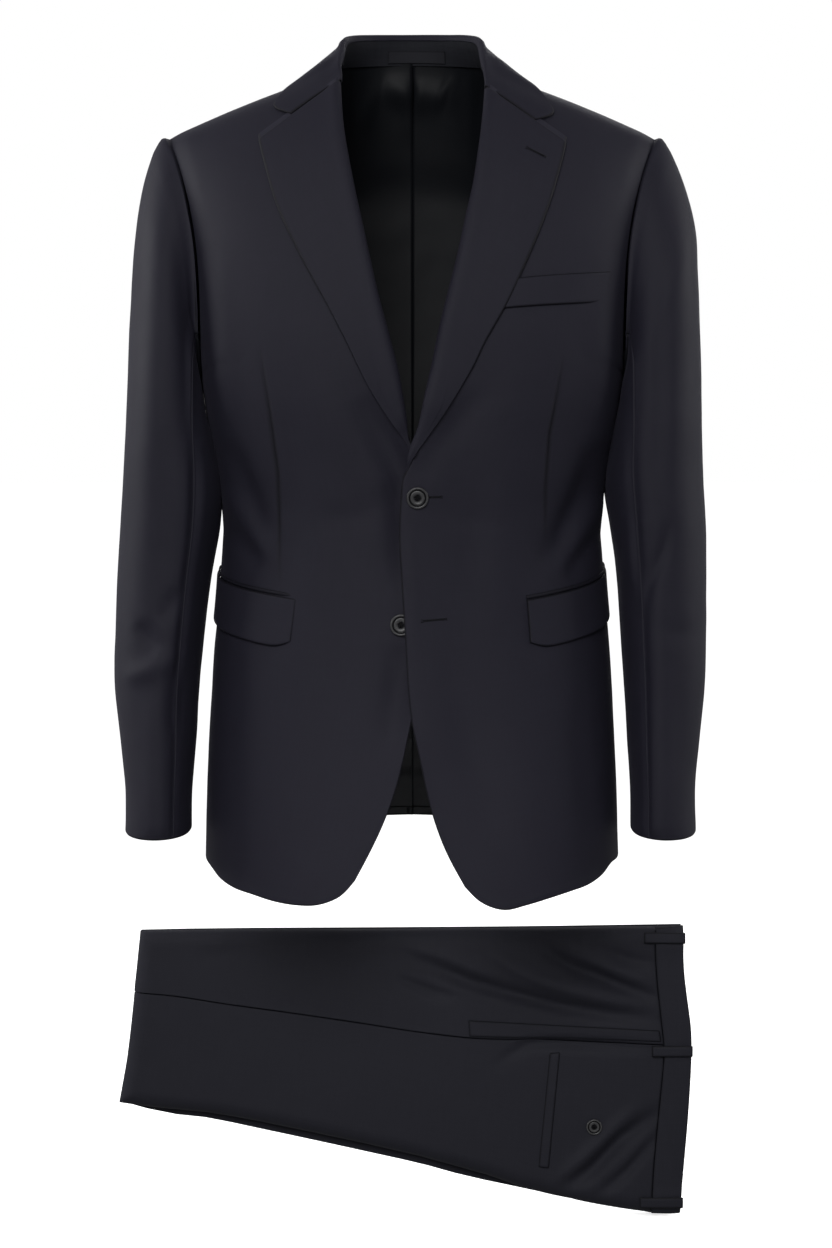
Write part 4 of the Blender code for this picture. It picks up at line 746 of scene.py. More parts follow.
# ---------------------------------------------------------------- lapels
# The tops of the fronts, turned back along the roll line and faced with their own cloth. The roll is soft,
# and the outer edge is pressed sharp, with a notch where the collar meets it.
LAPEL_FEET = {    # from the foot down: the roll edge's and the outer edge's x, z, and how far the roll stands out
    1: (((-3.8, -364.0), (-1.8, -364.5), 4.4), ((-5.4, -370.0), (-4.4, -370.5), 2.2),
        ((-7.8, -378.0), (-7.2, -378.0), 0.6)),
    -1: (((-4.0, -335.0), (-9.8, -338.5), 4.6), ((-2.8, -343.0), (-5.8, -345.0), 2.6),
         ((-1.6, -352.0), (-2.4, -352.5), 0.9)),
}
ROLL_SHARE = np.array([0.0, 0.25, 0.7] + [1.0] * 8)    # how far out each column of the foot stands
EDGE_SHARE = np.array([0.12, 0.0, -0.06, -0.02, 0.1, 0.22, 0.38, 0.54, 0.7, 0.85, 1.0])    # and across
LAPEL_OFF = 0.3    # mm that the foot's roll edge stands off
for side, name in SIDES:
    points, outwards = outer_points("lapel_" + name, 10, 16, Vector((side, 0, 0)), UP)
    over = np.clip((np.arange(11) - 3.0) / 7.0, 0.0, 1.0)
    points = eased(eased(points, side, 1.0 - over), side, over, edge=1)
    foot_y = points[0, 0, 1]
    feet = []
    for (roll_x, roll_z), (outer_x, outer_z), stands in LAPEL_FEET[side]:
        x = roll_x + (outer_x - roll_x) * EDGE_SHARE
        z = roll_z + (outer_z - roll_z) * EDGE_SHARE
        feet.append(np.stack((x * MM, foot_y - (LAPEL_OFF + stands * ROLL_SHARE) * MM, z * MM), axis=1))
    points = np.concatenate((np.array(feet[::-1]), points))
    points, rows, columns = finer(points, 3.0 * MM)
    sew("lapel_%s_cloth" % name, "lapel_" + name, points, outwards, rows, columns, JACKET_CLOTH, wall=1.6,
        borders=(OPEN, TURNED, OPEN, TURNED), seed=side + 14, wave=0.3, laps=(0, 6, 0, 0))

# ---------------------------------------------------------------- collar
# A leaf that rolls over at its fold and falls on the shoulders, and inside the neck the stand with a
# blank woven patch on its middle. The stand's cloth is darker, greyer and rougher than the jacket's, and goes up
# under the leaf's fold.
STAND_RISES = np.array((1.3, 2.6, 3.6)) * MM      # lines added over the stand's top
STAND_FADE = 40.0 * MM                            # from each end, over which they come up
STAND_FULL, STAND_FULL_WIDTH, STAND_FULL_RISE = 1.1 * MM, 8.0 * MM, 6.0 * MM    # the top's fullness
dress("collar_cloth", "collar", 8, 24, -UP, ROUND_NECK, 2.6, JACKET_CLOTH, wall=1.8,
      borders=(TURNED, TURNED, OPEN, TURNED), seed=17, wave=0.2)
points, outwards = outer_points("collar_stand", 2, 22, UP, ROUND_NECK)
points, rows, columns = finer(points, 2.6 * MM)
ends = np.clip(np.minimum(rows, rows[-1] - rows) / STAND_FADE, 0.0, 1.0)[:, None]
rise = points[:, -1] - points[:, -3]
rise = rise / np.linalg.norm(rise, axis=1, keepdims=True) * ends
taller = [points[:, -1] + rise * step for step in STAND_RISES]
points = np.concatenate((points, np.stack(taller, axis=1)), axis=1)
columns = np.concatenate((columns, columns[-1] + STAND_RISES))
lift = np.clip((columns - columns[-1] + STAND_FULL_WIDTH) / STAND_FULL_RISE, 0.0, 1.0)[None] * ends * STAND_FULL
STAND_CLOTH = cloth_finish("stand_darker_cloth", (0.0070, 0.0074, 0.0096), (0.0118, 0.0122, 0.0156), 0.75, 0.0,
                           (1.0, 1.0, 1.0), slub=0.9, specular=0.08)
sew("collar_stand_cloth", "collar_stand", points, outwards, rows, columns, STAND_CLOTH, wall=1.4,
    borders=(OPEN,) * 4, seed=18, wave=0.1, lift=lift)
PATCH_CLOTH = cloth_finish("patch_woven", (0.0082, 0.0084, 0.0112), (0.0132, 0.0134, 0.0168), 0.7, 0.0,
                           (1.0, 1.0, 1.0), yarns=3200.0, specular=0.1)
dress("neck_patch_woven", "neck_patch", 1, 5, UP, ROUND_NECK, 1.6, PATCH_CLOTH, thick=0.8, wall=0.6,
      borders=((0.3, 1.0),) * 4, cloth_slot="lining", seed=19, wave=0.0)

# ---------------------------------------------------------------- sleeves
# Two-piece sleeves, an outer and an under half with a seam at the front and at the back, lined inside.
# The head is eased in round the armhole, and the arm's bend leaves short folds at the elbow.
SLEEVE_FOLDS = {    # on the front of each sleeve: a line of places (x, z), height and width, all in mm
    1: [
        (((219, -173), (220, -307), (216, -397)), -3.6, 10.0),
        (((243, -119), (251, -244), (259, -368)), 2.6, 12.0),
        (((210, -420), (215, -470), (219, -498), (221, -560), (220, -640), (215, -790)), 4.6, 12.0),
        (((232, -412), (225, -440), (213, -472), (206, -500)), -3.4, 6.0),
        (((204, -408), (200, -440), (197, -480)), 3.0, 8.0),
        (((214, -508), (236, -516), (260, -517)), -0.9, 10.0),
        (((240, -560), (246, -640), (246, -700)), -0.8, 14.0),
    ],
    -1: [
        (((-206, -146), (-197, -262), (-193, -352)), -3.6, 10.0),
        (((-225, -128), (-230, -262), (-235, -370), (-236, -451)), 2.6, 14.0),
        (((-196, -350), (-199, -400), (-203, -440), (-212, -500), (-222, -550), (-227, -600), (-226, -690),
          (-222, -790)), 4.8, 13.0),
        (((-209, -474), (-216, -490), (-224, -508)), -3.6, 8.0),
        (((-246, -505), (-236, -522), (-226, -534)), -4.2, 9.0),
        (((-260, -558), (-236, -548), (-208, -534)), 3.4, 9.0),
        (((-214, -548), (-212, -575), (-212, -610)), -2.6, 10.0),
    ],
}
SLEEVE_BACK_FOLDS = [    # the same on both sleeves but for the height, with x to the outer side
    (((206, -442), (226, -452), (250, -470)), -2.4, 9.0),
    (((208, -472), (228, -484), (252, -502)), 2.0, 10.0),
    (((212, -508), (232, -516), (254, -528)), -2.2, 9.0),
    (((214, -180), (222, -260), (226, -340)), -2.4, 11.0),
    (((240, -150), (247, -260), (250, -380)), 2.0, 14.0),
    (((224, -560), (228, -630), (231, -690)), 1.4, 12.0),
]
BACK_FOLDS_UNEVEN = 0.15        # how much more the left sleeve's are, and less the right's
CROWN_RISE, CROWN_WIDTH = 1.2 * MM, 6.0 * MM    # how far the head stands up at the shoulder, and how wide
CROWN_TUCK, PLAIN_TUCK = 2.0, 0.5    # how steeply the allowance goes in, more at the crown and elsewhere
INNER_FULLNESS, INNER_HEIGHT, INNER_REACH = 4.5 * MM, -385.0, 48.0    # towards the body, at what height, mm
FACE_BLEND = 1.6    # how sharply front and back, or crown and side, are told apart
for side, name in SIDES:
    for half, many in (("top", 11), ("under", 7)):
        node = "sleeve_%s_%s" % (half, name)
        points, outwards = outer_points(node, 16, many, -UP, Vector((0, -1 if half == "top" else 1, 0)))
        points, rows, columns = finer(points, 3.4 * MM)
        facing = normals_of(points, outwards)
        forward = np.clip(0.5 - facing[..., 1] * FACE_BLEND, 0.0, 1.0)
        upward = np.clip(facing[..., 2] * FACE_BLEND, 0.0, 1.0)
        inward = np.clip(-facing[..., 0] * side, 0.0, 1.0)
        place = points[..., ::2] / MM
        lift = folds(place, SLEEVE_FOLDS[side]) * forward
        lift += folds(place * (side, 1.0), SLEEVE_BACK_FOLDS) * (1.0 - forward) * (1.0 + BACK_FOLDS_UNEVEN * side)
        lift += INNER_FULLNESS * inward * np.exp(-((place[..., 1] - INNER_HEIGHT) / INNER_REACH) ** 2)
        lift += CROWN_RISE * upward * np.exp(-(columns / CROWN_WIDTH) ** 2)[None]
        tuck = PLAIN_TUCK + CROWN_TUCK * upward[:, 3:4] if half == "top" else PLAIN_TUCK
        sew(node + "_cloth", node, points, outwards, rows, columns, JACKET_CLOTH, LINING, tuck=tuck, drop=0.9,
            borders=((0.05, 1.2), (0.05, 1.2), OPEN, TURNED), seed=side + len(half) * 3, lift=lift,
            laps=(0, 0, 6, 0) if half == "top" else (4, 4, 6, 0))

# ---------------------------------------------------------------- pockets
# The chest pocket's slanting welt, and a flap under a narrow jet on each side: doubled cloth with its edges
# turned in and pressed, sewn to the fronts along the top.
POCKET_CLOTHS = (
    # node      columns, rows, wall, stands out, a border's dip and width, mm
    ("chest_welt", 6, 2, 1.4, 0.8, (1.2, 1.8)),
    ("flap_left", 9, 5, 1.8, 0.4, (1.4, 1.8)),
    ("flap_right", 9, 5, 1.8, 0.7, (1.4, 1.8)),
    ("jet_left", 8, 1, 1.2, 0.1, (0.8, 1.2)),
    ("jet_right", 8, 1, 1.2, 0.1, (0.8, 1.2)),
)
SHELL_SHARE = 0.9    # of the node's wall that the cloth takes up
for node, many, deep, wall, stands_out, border in POCKET_CLOTHS:
    side = -1 if node.endswith("right") else 1
    points, outwards = outer_points(node, many, deep, Vector((side, 0, 0)), UP, wall)
    points, rows, columns = finer(points, 2.4 * MM)
    points = points + normals_of(points, outwards) * stands_out * MM
    sew(node + "_cloth", node, points, outwards, rows, columns, JACKET_CLOTH, borders=(border,) * 4, seed=22,
        wall=wall * SHELL_SHARE + stands_out, wave=0.1)

# ---------------------------------------------------------------- buttonholes
# Worked in dark silk twist on the left front and on the left lapel: a slit with an eyelet at the edge end,
# a rim of close stitches round it and a bar across its other end.
def facing_surface(piece):
    """The piece's cloth as a tree that rays meet."""
    mesh = piece.data
    return BVHTree.FromPolygons([v.co for v in mesh.vertices], [p.vertices for p in mesh.polygons])


def spot_on(tree, spot, out):
    """The place on a cloth behind a spot (x, z) in mm, seen from the front, moved out by mm."""
    place, normal, _, _ = tree.ray_cast(Vector((spot.x * MM, -0.5, spot.y * MM)), Vector((0.0, 1.0, 0.0)))
    return place + (normal if normal.y < 0 else -normal) * out * MM


CORD_SIDES = 6


def two_tone_finish(name, kind, dark, light, roughness, specular, stretch=(1.0, 1.0, 1.0), **dials):
    """A finish of two tones, parted by a texture of that kind in the object's own space."""
    made = bpy.data.materials.new(name)
    made.use_nodes = True
    tree = made.node_tree
    shader = tree.nodes["Principled BSDF"]
    dial(shader, Roughness=roughness, Specular_IOR_Level=specular)
    place, stretched = tree.nodes.new("ShaderNodeTexCoord"), tree.nodes.new("ShaderNodeMapping")
    tones = tree.nodes.new("ShaderNodeTex" + kind)
    dial(stretched, Scale=stretch)
    dial(tones, **dials)
    if kind == "Wave":
        tones.bands_direction = "DIAGONAL"
    wire(tree, (place.outputs["Object"], stretched.inputs[0]), (stretched.outputs[0], tones.inputs["Vector"]),
         (mixed(tree, tones.outputs["Fac"], dark, light), shader.inputs["Base Color"]))
    return made


def cord_along(form, path, radius, closed=False):
    """A round cord through a path of places, made by bridging a ring at each place to the next."""
    rings = []
    count = len(path)
    for i, place in enumerate(path):
        before = path[(i - 1) % count] if closed or i else place
        after = path[(i + 1) % count] if closed or i < count - 1 else place
        turn = (after - before).to_track_quat("Z", "Y").to_matrix().to_4x4()
        ring = bmesh.ops.create_circle(form, segments=CORD_SIDES, radius=radius * MM,
                                       matrix=Matrix.Translation(place) @ turn)["verts"]
        rings.append(list({edge for v in ring for edge in v.link_edges}))
    for low, high in zip(rings, rings[1:] + (rings[:1] if closed else [])):
        bmesh.ops.bridge_loops(form, edges=low + high)
    if not closed:
        bmesh.ops.holes_fill(form, edges=rings[0] + rings[-1])
    bmesh.ops.recalc_face_normals(form, faces=form.faces)


def add_piece(name, form, finish, node=None, smooth=True):
    """A finished mesh as a piece of the suit, in a node's place or beside the nodes."""
    mesh = bpy.data.meshes.new(name)
    form.to_mesh(mesh)
    form.free()
    if smooth:
        mesh.shade_smooth()
    mesh.materials.append(finish)
    piece = stand(name, mesh)
    if node:
        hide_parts(node)
    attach(piece, "root")
    return piece


TWIST = two_tone_finish("buttonhole_twist", "Wave", (0.002, 0.002, 0.003), (0.006, 0.006, 0.008), 0.8, 0.15,
                        Scale=700.0, Distortion=0.6)
BUTTONHOLES = (
    # name, on, eyelet's end and bar's end (x, z), how much wider the eyelet is, all in mm
    ("buttonhole_upper", "front_left_cloth", (6.0, -393.0), (26.3, -392.6), 0.0),
    ("buttonhole_lower", "front_left_cloth", (7.6, -502.2), (30.4, -500.5), 1.25),
    ("buttonhole_lapel", "lapel_left_cloth", (100.8, -83.3), (118.2, -91.8), 0.9),
)
RIM_STEPS, RIM_RADIUS, RIM_OUT, RIM_HALF = 28, 0.42, 0.18, 0.5    # the stitched rim round the slit, mm
EYELET_LENGTH = 3.0                                               # mm
BAR_RADIUS, BAR_OUT, BAR_PAST, BAR_STEPS = 0.45, 0.25, 0.3, (-1.3, -0.5, 0.5, 1.3)    # mm
for name, on, start, end, eyelet in BUTTONHOLES:
    surface = facing_surface(bpy.data.objects[on])
    start, end = Vector(start), Vector(end)
    way = (end - start).normalized()
    across = Vector((-way.y, way.x))
    length = (end - start).length
    form = bmesh.new()
    path = []
    for step in range(RIM_STEPS):
        share = (step + 0.5) / RIM_STEPS
        along, side = (share * 2.0, 1.0) if share < 0.5 else ((1.0 - share) * 2.0, -1.0)
        wide = RIM_HALF + max(0.0, eyelet * (1.0 - along * length / EYELET_LENGTH))
        path.append(spot_on(surface, start + way * (length * along) + across * side * wide, RIM_OUT))
    cord_along(form, path, RIM_RADIUS, closed=True)
    bar = [spot_on(surface, end + way * BAR_PAST + across * step, BAR_OUT) for step in BAR_STEPS]
    cord_along(form, bar, BAR_RADIUS)
    add_piece(name, form, TWIST)

# ---------------------------------------------------------------- buttons
# Dark horn buttons, turned with a raised rim, a groove and a dished middle with four holes, sewn on with
# dark thread: two on the jacket and a smaller one on the trousers' back pocket.
def horn_finish(name, dark, light, roughness, specular):
    """Dark horn, streaked between two tones."""
    return two_tone_finish(name, "Noise", dark, light, roughness, specular, HORN_GRAIN, Scale=420.0, Detail=4.0)


HORN_GRAIN = (1.0, 1.0, 0.25)    # streaks run up and down
HORN = horn_finish("dark_horn", (0.008, 0.008, 0.009), (0.022, 0.022, 0.024), 0.42, 0.16)
# Painted highlight and painted shade: the raised rings are given lighter horn, and the middle, the groove and the
# edge darker horn.
HORN_PAINTED_HIGHLIGHT = horn_finish("dark_horn_painted_highlight", (0.016, 0.016, 0.017), (0.042, 0.042, 0.044), 0.36, 0.25)
PALE_PAINTED_HIGHLIGHT = horn_finish("grey_horn_painted_highlight", (0.026, 0.026, 0.027), (0.060, 0.060, 0.062), 0.34, 0.25)
HORN_PAINTED_SHADE = horn_finish("dark_horn_painted_shade", (0.002, 0.002, 0.002), (0.005, 0.005, 0.006), 0.6, 0.05)
BUTTON_PROFILE = (    # share of the radius, height in mm, from the middle of the face to the middle of the foot
    (0.0, 2.05), (0.30, 2.0), (0.40, 2.1), (0.50, 2.3), (0.56, 2.42), (0.60, 2.36), (0.64, 2.18), (0.69, 2.16),
    (0.74, 2.4), (0.80, 2.85), (0.87, 3.08), (0.93, 3.02), (0.98, 2.6), (1.0, 2.0), (0.98, 1.45), (0.90, 1.0),
    (0.72, 0.6), (0.45, 0.42), (0.0, 0.42))
BUTTON_BANDS = ((2, 0.26), (0, 0.40), (1, 0.62), (2, 0.78), (1, 0.96), (2, 2.0))    # finish, up to that share: 0 plain horn, 1 painted highlight on the raised rings, 2 painted shade in the middle, the groove and round the edge
FULL_HEIGHT_RADIUS = 9.0        # mm; a smaller button is thinner in the same share
BUTTON_STEPS, BUTTON_TURN = 56, 0.5    # steps round a button, and how far its holes are turned, radians
HOLE_RADIUS, HOLE_PLACE, HOLE_DEPTH, HOLE_SIDES = 0.8, 1.6, 6.0, 14    # mm, on a button of the jacket's radius
JACKET_RADIUS, POCKET_RADIUS = 9.8, 7.6    # mm
THREAD_RISE = ((0.0, 0.9), (0.0, 1.9), (0.2, 2.45), (0.5, 2.55), (0.8, 2.45), (1.0, 1.9), (1.0, 0.9))
THREAD_SHIFTS, THREAD_RADIUS = (-0.22, 0.22), 0.24    # mm; the rise is a share from hole to hole, and a height


def seat_of(node):
    """The middle of a turned node's foot and the direction out of its face."""
    spots = np.array([v.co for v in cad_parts[node].data.vertices])
    middle = (spots.min(axis=0) + spots.max(axis=0)) / 2.0
    axis = Vector(np.linalg.svd(spots - spots.mean(axis=0), full_matrices=False)[2][2])
    axis = axis if axis.y < 0 else -axis
    foot = min(Vector(spot - middle).dot(axis) for spot in spots)
    return Vector(middle) + axis * foot, axis


def turned_button(name, node, radius, rim):
    """A button of that radius in mm, turned, drilled and sewn on with two pairs of thread."""
    foot, axis = seat_of(node)
    thin = MM * min(1.0, radius / FULL_HEIGHT_RADIUS)
    form = bmesh.new()
    line = [form.verts.new((share * radius * MM, 0.0, high * thin)) for share, high in BUTTON_PROFILE]
    edges = [form.edges.new(pair) for pair in zip(line, line[1:])]
    bmesh.ops.spin(form, geom=line + edges, axis=(0, 0, 1), cent=(0, 0, 0), steps=BUTTON_STEPS,
                   angle=2.0 * math.pi, use_merge=True)
    bmesh.ops.remove_doubles(form, verts=form.verts, dist=1e-6)
    bmesh.ops.recalc_face_normals(form, faces=form.faces)
    for face in form.faces:
        out = face.calc_center_median()
        share = math.hypot(out.x, out.y) / (radius * MM)
        if face.normal.z > 0.0:
            face.material_index = next(kind for kind, limit in BUTTON_BANDS if share < limit)
    turn = (Matrix.Translation(foot) @ axis.to_track_quat("Z", "Y").to_matrix().to_4x4()
            @ Matrix.Rotation(BUTTON_TURN, 4, "Z"))
    bmesh.ops.transform(form, matrix=turn, verts=form.verts)
    piece = add_piece(name, form, HORN, node)
    # The rim finish paints highlight on the raised rings; the groove finish paints shade in the hollows and round
    # the edge.
    piece.data.materials.append(rim)
    piece.data.materials.append(HORN_PAINTED_SHADE)
    drill = bmesh.new()
    scale = radius / JACKET_RADIUS
    off, bore = HOLE_PLACE * scale, HOLE_RADIUS * scale * MM
    spots = [Vector((x * off, y * off, 1.5)) * MM for x in (-1, 1) for y in (-1, 1)]
    for spot in spots:
        bmesh.ops.create_cone(drill, cap_ends=True, segments=HOLE_SIDES, radius1=bore, radius2=bore,
                              depth=HOLE_DEPTH * MM, matrix=turn @ Matrix.Translation(spot))
    drill_mesh = bpy.data.meshes.new("drill")
    drill.to_mesh(drill_mesh)
    drill.free()
    driller = stand("drill", drill_mesh)
    cut = piece.modifiers.new("holes", "BOOLEAN")
    cut.object = driller
    cut.operation = "DIFFERENCE"
    cut.solver = "EXACT"
    bpy.context.view_layer.update()
    made = bpy.data.meshes.new_from_object(piece.evaluated_get(bpy.context.evaluated_depsgraph_get()))
    piece.modifiers.clear()
    piece.data = made
    bpy.data.objects.remove(driller)
    thread = bmesh.new()
    for first, second in (spots[:2], spots[2:]):
        for shift in THREAD_SHIFTS:
            path = []
            for share, high in THREAD_RISE:
                spot = first.lerp(second, share)
                path.append(turn @ Vector((spot.x + shift * MM, spot.y, high * MM)))
            cord_along(thread, path, THREAD_RADIUS)
    add_piece(name + "_thread", thread, TWIST)


turned_button("jacket_button_upper", "button_upper", JACKET_RADIUS, HORN_PAINTED_HIGHLIGHT)
turned_button("jacket_button_lower", "button_lower", JACKET_RADIUS, HORN_PAINTED_HIGHLIGHT)
turned_button("pocket_button_horn", "pocket_button", POCKET_RADIUS, PALE_PAINTED_HIGHLIGHT)

# ---------------------------------------------------------------- trousers: the leg that shows
# The same worsted, folded flat: the front panel above the side seam and the back panel below it, rounded
# over the folds at their edges, with creases drawn up towards the waist.
TROUSER_CLOTH = cloth_finish("trouser_worsted", (0.0098, 0.0099, 0.0142), (0.0172, 0.0173, 0.0242), 0.68, 0.02,
                             (0.75, 0.76, 1.0), specular=0.14)
BACK_Y, FACE, EDGE_DROP, EDGE_ROUND = 106.0, 26.0, 11.0, 15.0    # mm: the flat side, the cloth's height over it
FOLDS_FULL_FROM, PANEL_STEP = 26.0, 3.0    # mm: how far in from the folded edges creases are full; a panel's step
CREASE_LINE = ((-259, -810), (-175, -809), (7, -808), (122, -807), (231, -806))
SIDE_SEAM = ((-265, -868), (-236, -870), (-175, -879), (-114, -887.5), (-53, -896.5), (8, -906),
             (55, -911.5), (121, -913.5), (161, -915.5), (239.5, -918.5))
SEAT_LINE = ((-280, -975.5), (-243, -980.5), (-196, -985), (-145.5, -994), (-95, -1004.5), (-43, -1016),
             (8, -1027.5), (70, -1045), (100.5, -1055.5), (152, -1068.5), (228, -1082))
KNEE_FRONT = ((-265, -868), (-259, -810))
KNEE_BACK = ((-280, -975.5), (-272.5, -934), (-265, -869))
BAND_FRONT = ((239.5, -918), (236.5, -891), (233, -860), (231, -830), (231, -806))
BAND_BACK = ((228, -1082), (230.5, -1034.5), (234, -993), (237, -962), (239.5, -931), (239.5, -919))
TROUSER_FOLDS = [    # a line of places (x, z), height and width, all in mm; a trough's height is below zero
    (((-8, -822), (30, -833), (60, -845), (84, -856)), 4.6, 6.5),
    (((70, -824), (87, -837), (103, -848), (123, -857), (142, -863), (181, -874), (212, -881)), 6.4, 7.2),
    (((-8, -832), (16, -841), (54, -858), (97, -870), (142, -882), (182, -888), (236, -894)), -8.2, 6.8),
    (((122, -813), (150, -828), (175, -838), (200, -850), (230, -861)), 4.8, 6.0),
    (((122, -826), (155, -845), (175, -852), (194, -860), (236, -875)), -7.4, 5.8),
    (((176, -824), (201, -835), (232, -841)), -3.6, 5.0),
    (((-14, -854), (6, -863), (22, -869), (42, -874)), -4.4, 5.5),
    (((82, -936), (97, -925), (110, -918), (128, -916), (176, -918), (232, -921)), -5.0, 5.5),
    (((136, -1068), (148, -1057), (173, -1037), (198, -1010), (238, -980)), -8.2, 7.0),
    (((168, -1070), (181, -1062), (205, -1038), (236, -1002)), -6.6, 5.5),
    (((136, -1052), (166, -1026), (214, -978)), 4.0, 6.5),
    (((184, -1058), (206, -1032), (230, -1006)), 3.2, 5.0),
    (((-205, -834), (-195, -832), (-155, -821), (-140, -818)), -0.8, 10.0),
    (((-240, -850), (-120, -862), (0, -880), (60, -892)), 0.8, 16.0),
]


def along_line(line, shares):
    """A smooth line through (x, z) places, read at shares of its length."""
    points = np.array(line, float)[:, None, :]
    marks = marks_of(points)
    return through(points, marks, np.array(shares) * marks[-1])[:, 0]


def between(foot, top, first, last, columns, rows):
    """A flat panel between four lines, as (rows, columns, 2)."""
    u, v = np.linspace(0, 1, columns + 1), np.linspace(0, 1, rows + 1)
    low, high, start, end = along_line(foot, u), along_line(top, u), along_line(first, v), along_line(last, v)
    u, v = u[None, :, None], v[:, None, None]
    corners = ((1 - u) * (1 - v) * low[0] + u * (1 - v) * low[-1] + (1 - u) * v * high[0] + u * v * high[-1])
    return (1 - v) * low[None] + v * high[None] + (1 - u) * start[:, None] + u * end[:, None] - corners


def away_from(flat, line):
    """Distance from each place of a flat panel to a line of places."""
    best = np.full(flat.shape[:-1], 1e9)
    line = np.array(line, float)
    for a, b in zip(line, line[1:]):
        share = np.clip((flat - a) @ (b - a) / ((b - a) @ (b - a)), 0, 1)
        best = np.minimum(best, np.linalg.norm(flat - a - share[..., None] * (b - a), axis=-1))
    return best


def trouser_height(flat):
    """Height of the cloth over the flat side, rounded over the folded edges, and the creases' share."""
    away = np.minimum(np.minimum(away_from(flat, CREASE_LINE), away_from(flat, SEAT_LINE)),
                      away_from(flat, KNEE_BACK + KNEE_FRONT[1:]))
    share = np.clip(away / EDGE_ROUND, 0, 1)
    flatness = np.clip(away / FOLDS_FULL_FROM, 0, 1)
    flatness = flatness * flatness * (3 - 2 * flatness)
    return FACE - EDGE_DROP * (1 - np.sqrt(np.maximum(0, 1 - (1 - share) ** 2))), flatness


def lay_flat(node, lines, columns, rows, out=0.0, step=None, **more):
    """A panel between four lines laid on the trousers' form, closer together by its borders if it has a step."""
    flat = between(*lines, columns, rows)
    height, flatness = trouser_height(flat)
    y = (BACK_Y - height - out) * MM - folds(flat, TROUSER_FOLDS) * flatness
    points = np.stack((flat[..., 0] * MM, y, flat[..., 1] * MM), axis=-1)
    rows, columns = marks_of(points), marks_of(points.transpose(1, 0, 2))
    if step:
        row_marks, column_marks = rows, columns
        rows, columns = np.array(stops(rows[-1], step * MM)), np.array(stops(columns[-1], step * MM))
        points = through(points, row_marks, rows)
        points = through(points.transpose(1, 0, 2), column_marks, columns).transpose(1, 0, 2)
    outwards = np.cross(points[1, 2] - points[1, 1], points[2, 1] - points[1, 1])[1] < 0
    sew(node + "_cloth", node, points, outwards, rows, columns, TROUSER_CLOTH, cloth_slot="trouser_cloth",
        held="folded", **more)


SIDE_STITCH, BAND_STITCH = (0.08, 0.8), (0.3, 1.2)    # the borders at the side seam and at the waistband
lay_flat("leg_front", (SIDE_SEAM, CREASE_LINE, KNEE_FRONT, BAND_FRONT), 170, 36, step=PANEL_STEP, seed=31,
         borders=(SIDE_STITCH, OPEN, OPEN, BAND_STITCH), wall=1.1, wave=0.35, rests_on=["trouser_layers"])
lay_flat("leg_back", (SEAT_LINE, SIDE_SEAM, KNEE_BACK, BAND_BACK), 170, 48, step=PANEL_STEP, seed=32,
         borders=(OPEN, SIDE_STITCH, OPEN, BAND_STITCH), wall=1.1, wave=0.35, rests_on=["trouser_layers"])

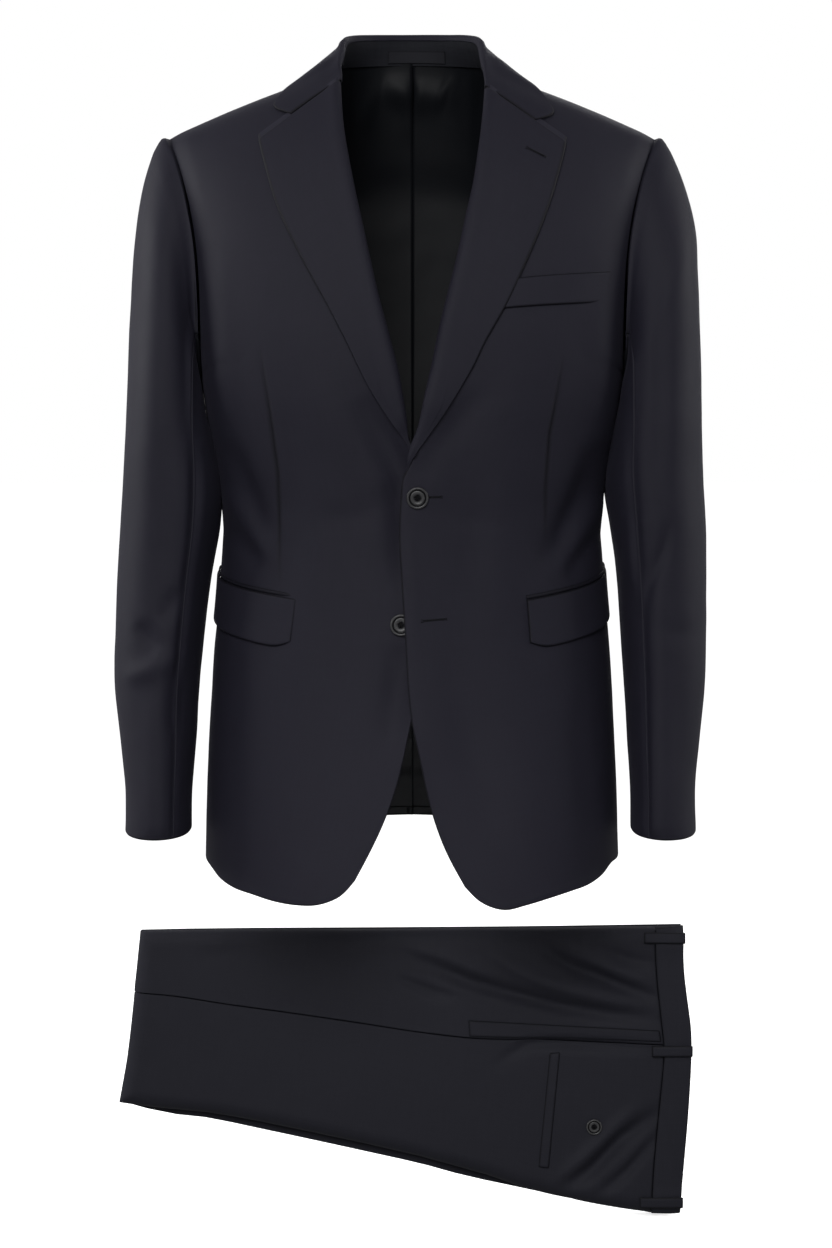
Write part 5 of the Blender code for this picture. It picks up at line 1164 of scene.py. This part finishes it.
# ---------------------------------------------------------------- trousers: the layers underneath
# The other leg and the backs of both, folded under the one that shows: five folded layers of the same
# cloth, their edges a little apart, flat where they lie.
LAYER_THICK, LAYER_BEVEL, LAYER_MIDDLE = 3.45, 1.6, (-0.01, -0.94)    # mm, and m: x, z inside every layer
layers, packed = bmesh.new(), bmesh.new()
packed.from_mesh(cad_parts["leg_hidden_layers"].data)
bmesh.ops.remove_doubles(packed, verts=packed.verts, dist=1e-6)
heights = {}
for vert in packed.verts:
    heights.setdefault(round(vert.co.y / MM, 1), []).append(vert.co.copy())
packed.free()
for level in sorted(heights)[::2]:
    rim = sorted(heights[level], key=lambda co: math.atan2(co.z - LAYER_MIDDLE[1], co.x - LAYER_MIDDLE[0]))
    top = min(level, BACK_Y - LAYER_THICK)
    corners = [layers.verts.new((co.x, top * MM, co.z)) for co in rim]
    edges = [layers.edges.new(pair) for pair in zip(corners, corners[1:] + corners[:1])]
    face = bmesh.ops.contextual_create(layers, geom=edges)["faces"]
    grown = bmesh.ops.extrude_face_region(layers, geom=face)["geom"]
    verts = [g for g in grown if isinstance(g, bmesh.types.BMVert)]
    bmesh.ops.translate(layers, verts=verts, vec=(0.0, LAYER_THICK * MM, 0.0))
    ends = set(verts) | set(corners)
    rims = [e for e in layers.edges if e.verts[0] in ends and e.verts[1] in ends
            and (e.verts[0] in corners) == (e.verts[1] in corners) and len(e.link_faces) == 2]
    bmesh.ops.bevel(layers, geom=rims, offset=LAYER_BEVEL * MM, segments=3, profile=0.5, affect="EDGES",
                    material=-1)
bmesh.ops.recalc_face_normals(layers, faces=layers.faces)
add_piece("trouser_layers", layers, TROUSER_CLOTH, "leg_hidden_layers", smooth=False)

# ---------------------------------------------------------------- trousers: waistband and loops
# A band of the same cloth on canvas round the waist, its edges turned in, and three narrow belt loops
# that are sewn down on it at both ends.
TO_WAIST = Vector((1, 0, 0))
dress("waistband_cloth", "waistband", 3, 18, TO_WAIST, UP, 2.2, TROUSER_CLOTH, thick=2.4, front=True, wall=2.2,
      borders=(TURNED, TURNED, BAND_STITCH, TURNED), cloth_slot="trouser_cloth", seed=33, wave=0.25,
      held="folded", rests_on=["trouser_layers"], laps=(0, 0, 0, 0.5), drop=1.0, tuck=12.0)
for number in (1, 2, 3):
    node = "belt_loop_%d" % number
    dress(node + "_cloth", node, 1, 6, UP, TO_WAIST, 1.6, TROUSER_CLOTH, front=True, wall=1.6,
          borders=((1.0, 2.4), (0.6, 1.4), (1.1, 2.2), (1.1, 2.2)), cloth_slot="trouser_cloth",
          seed=33 + number, wave=0.1, held="folded", rests_on=["waistband_cloth"])

# ---------------------------------------------------------------- trousers: pockets
# The side pocket's turned edge, slanting beside the side seam, and the narrow welt of the back pocket:
# strips of the same cloth, folded double and stitched down.
POCKET_STRIPS = (
    # node, foot's ends and top's ends (x, z) in mm, columns, rows
    ("side_pocket", ((54.5, -910.5), (237.5, -915.5)), ((53.5, -894.5), (235.5, -904.5)), 120, 10),
    ("back_pocket_welt", ((120.5, -1036), (130.5, -1037.5)), ((131, -926), (141, -925)), 10, 74),
)
STRIP_OUT = 1.2    # mm that a strip stands out from the leg
for node, foot, top, many, deep in POCKET_STRIPS:
    lay_flat(node, (foot, top, (foot[0], top[0]), (foot[1], top[1])), many, deep, STRIP_OUT, wall=1.0,
             seed=40, wave=0.1, rests_on=["leg_front_cloth"])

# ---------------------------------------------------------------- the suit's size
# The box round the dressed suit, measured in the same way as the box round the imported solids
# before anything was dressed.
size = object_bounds()
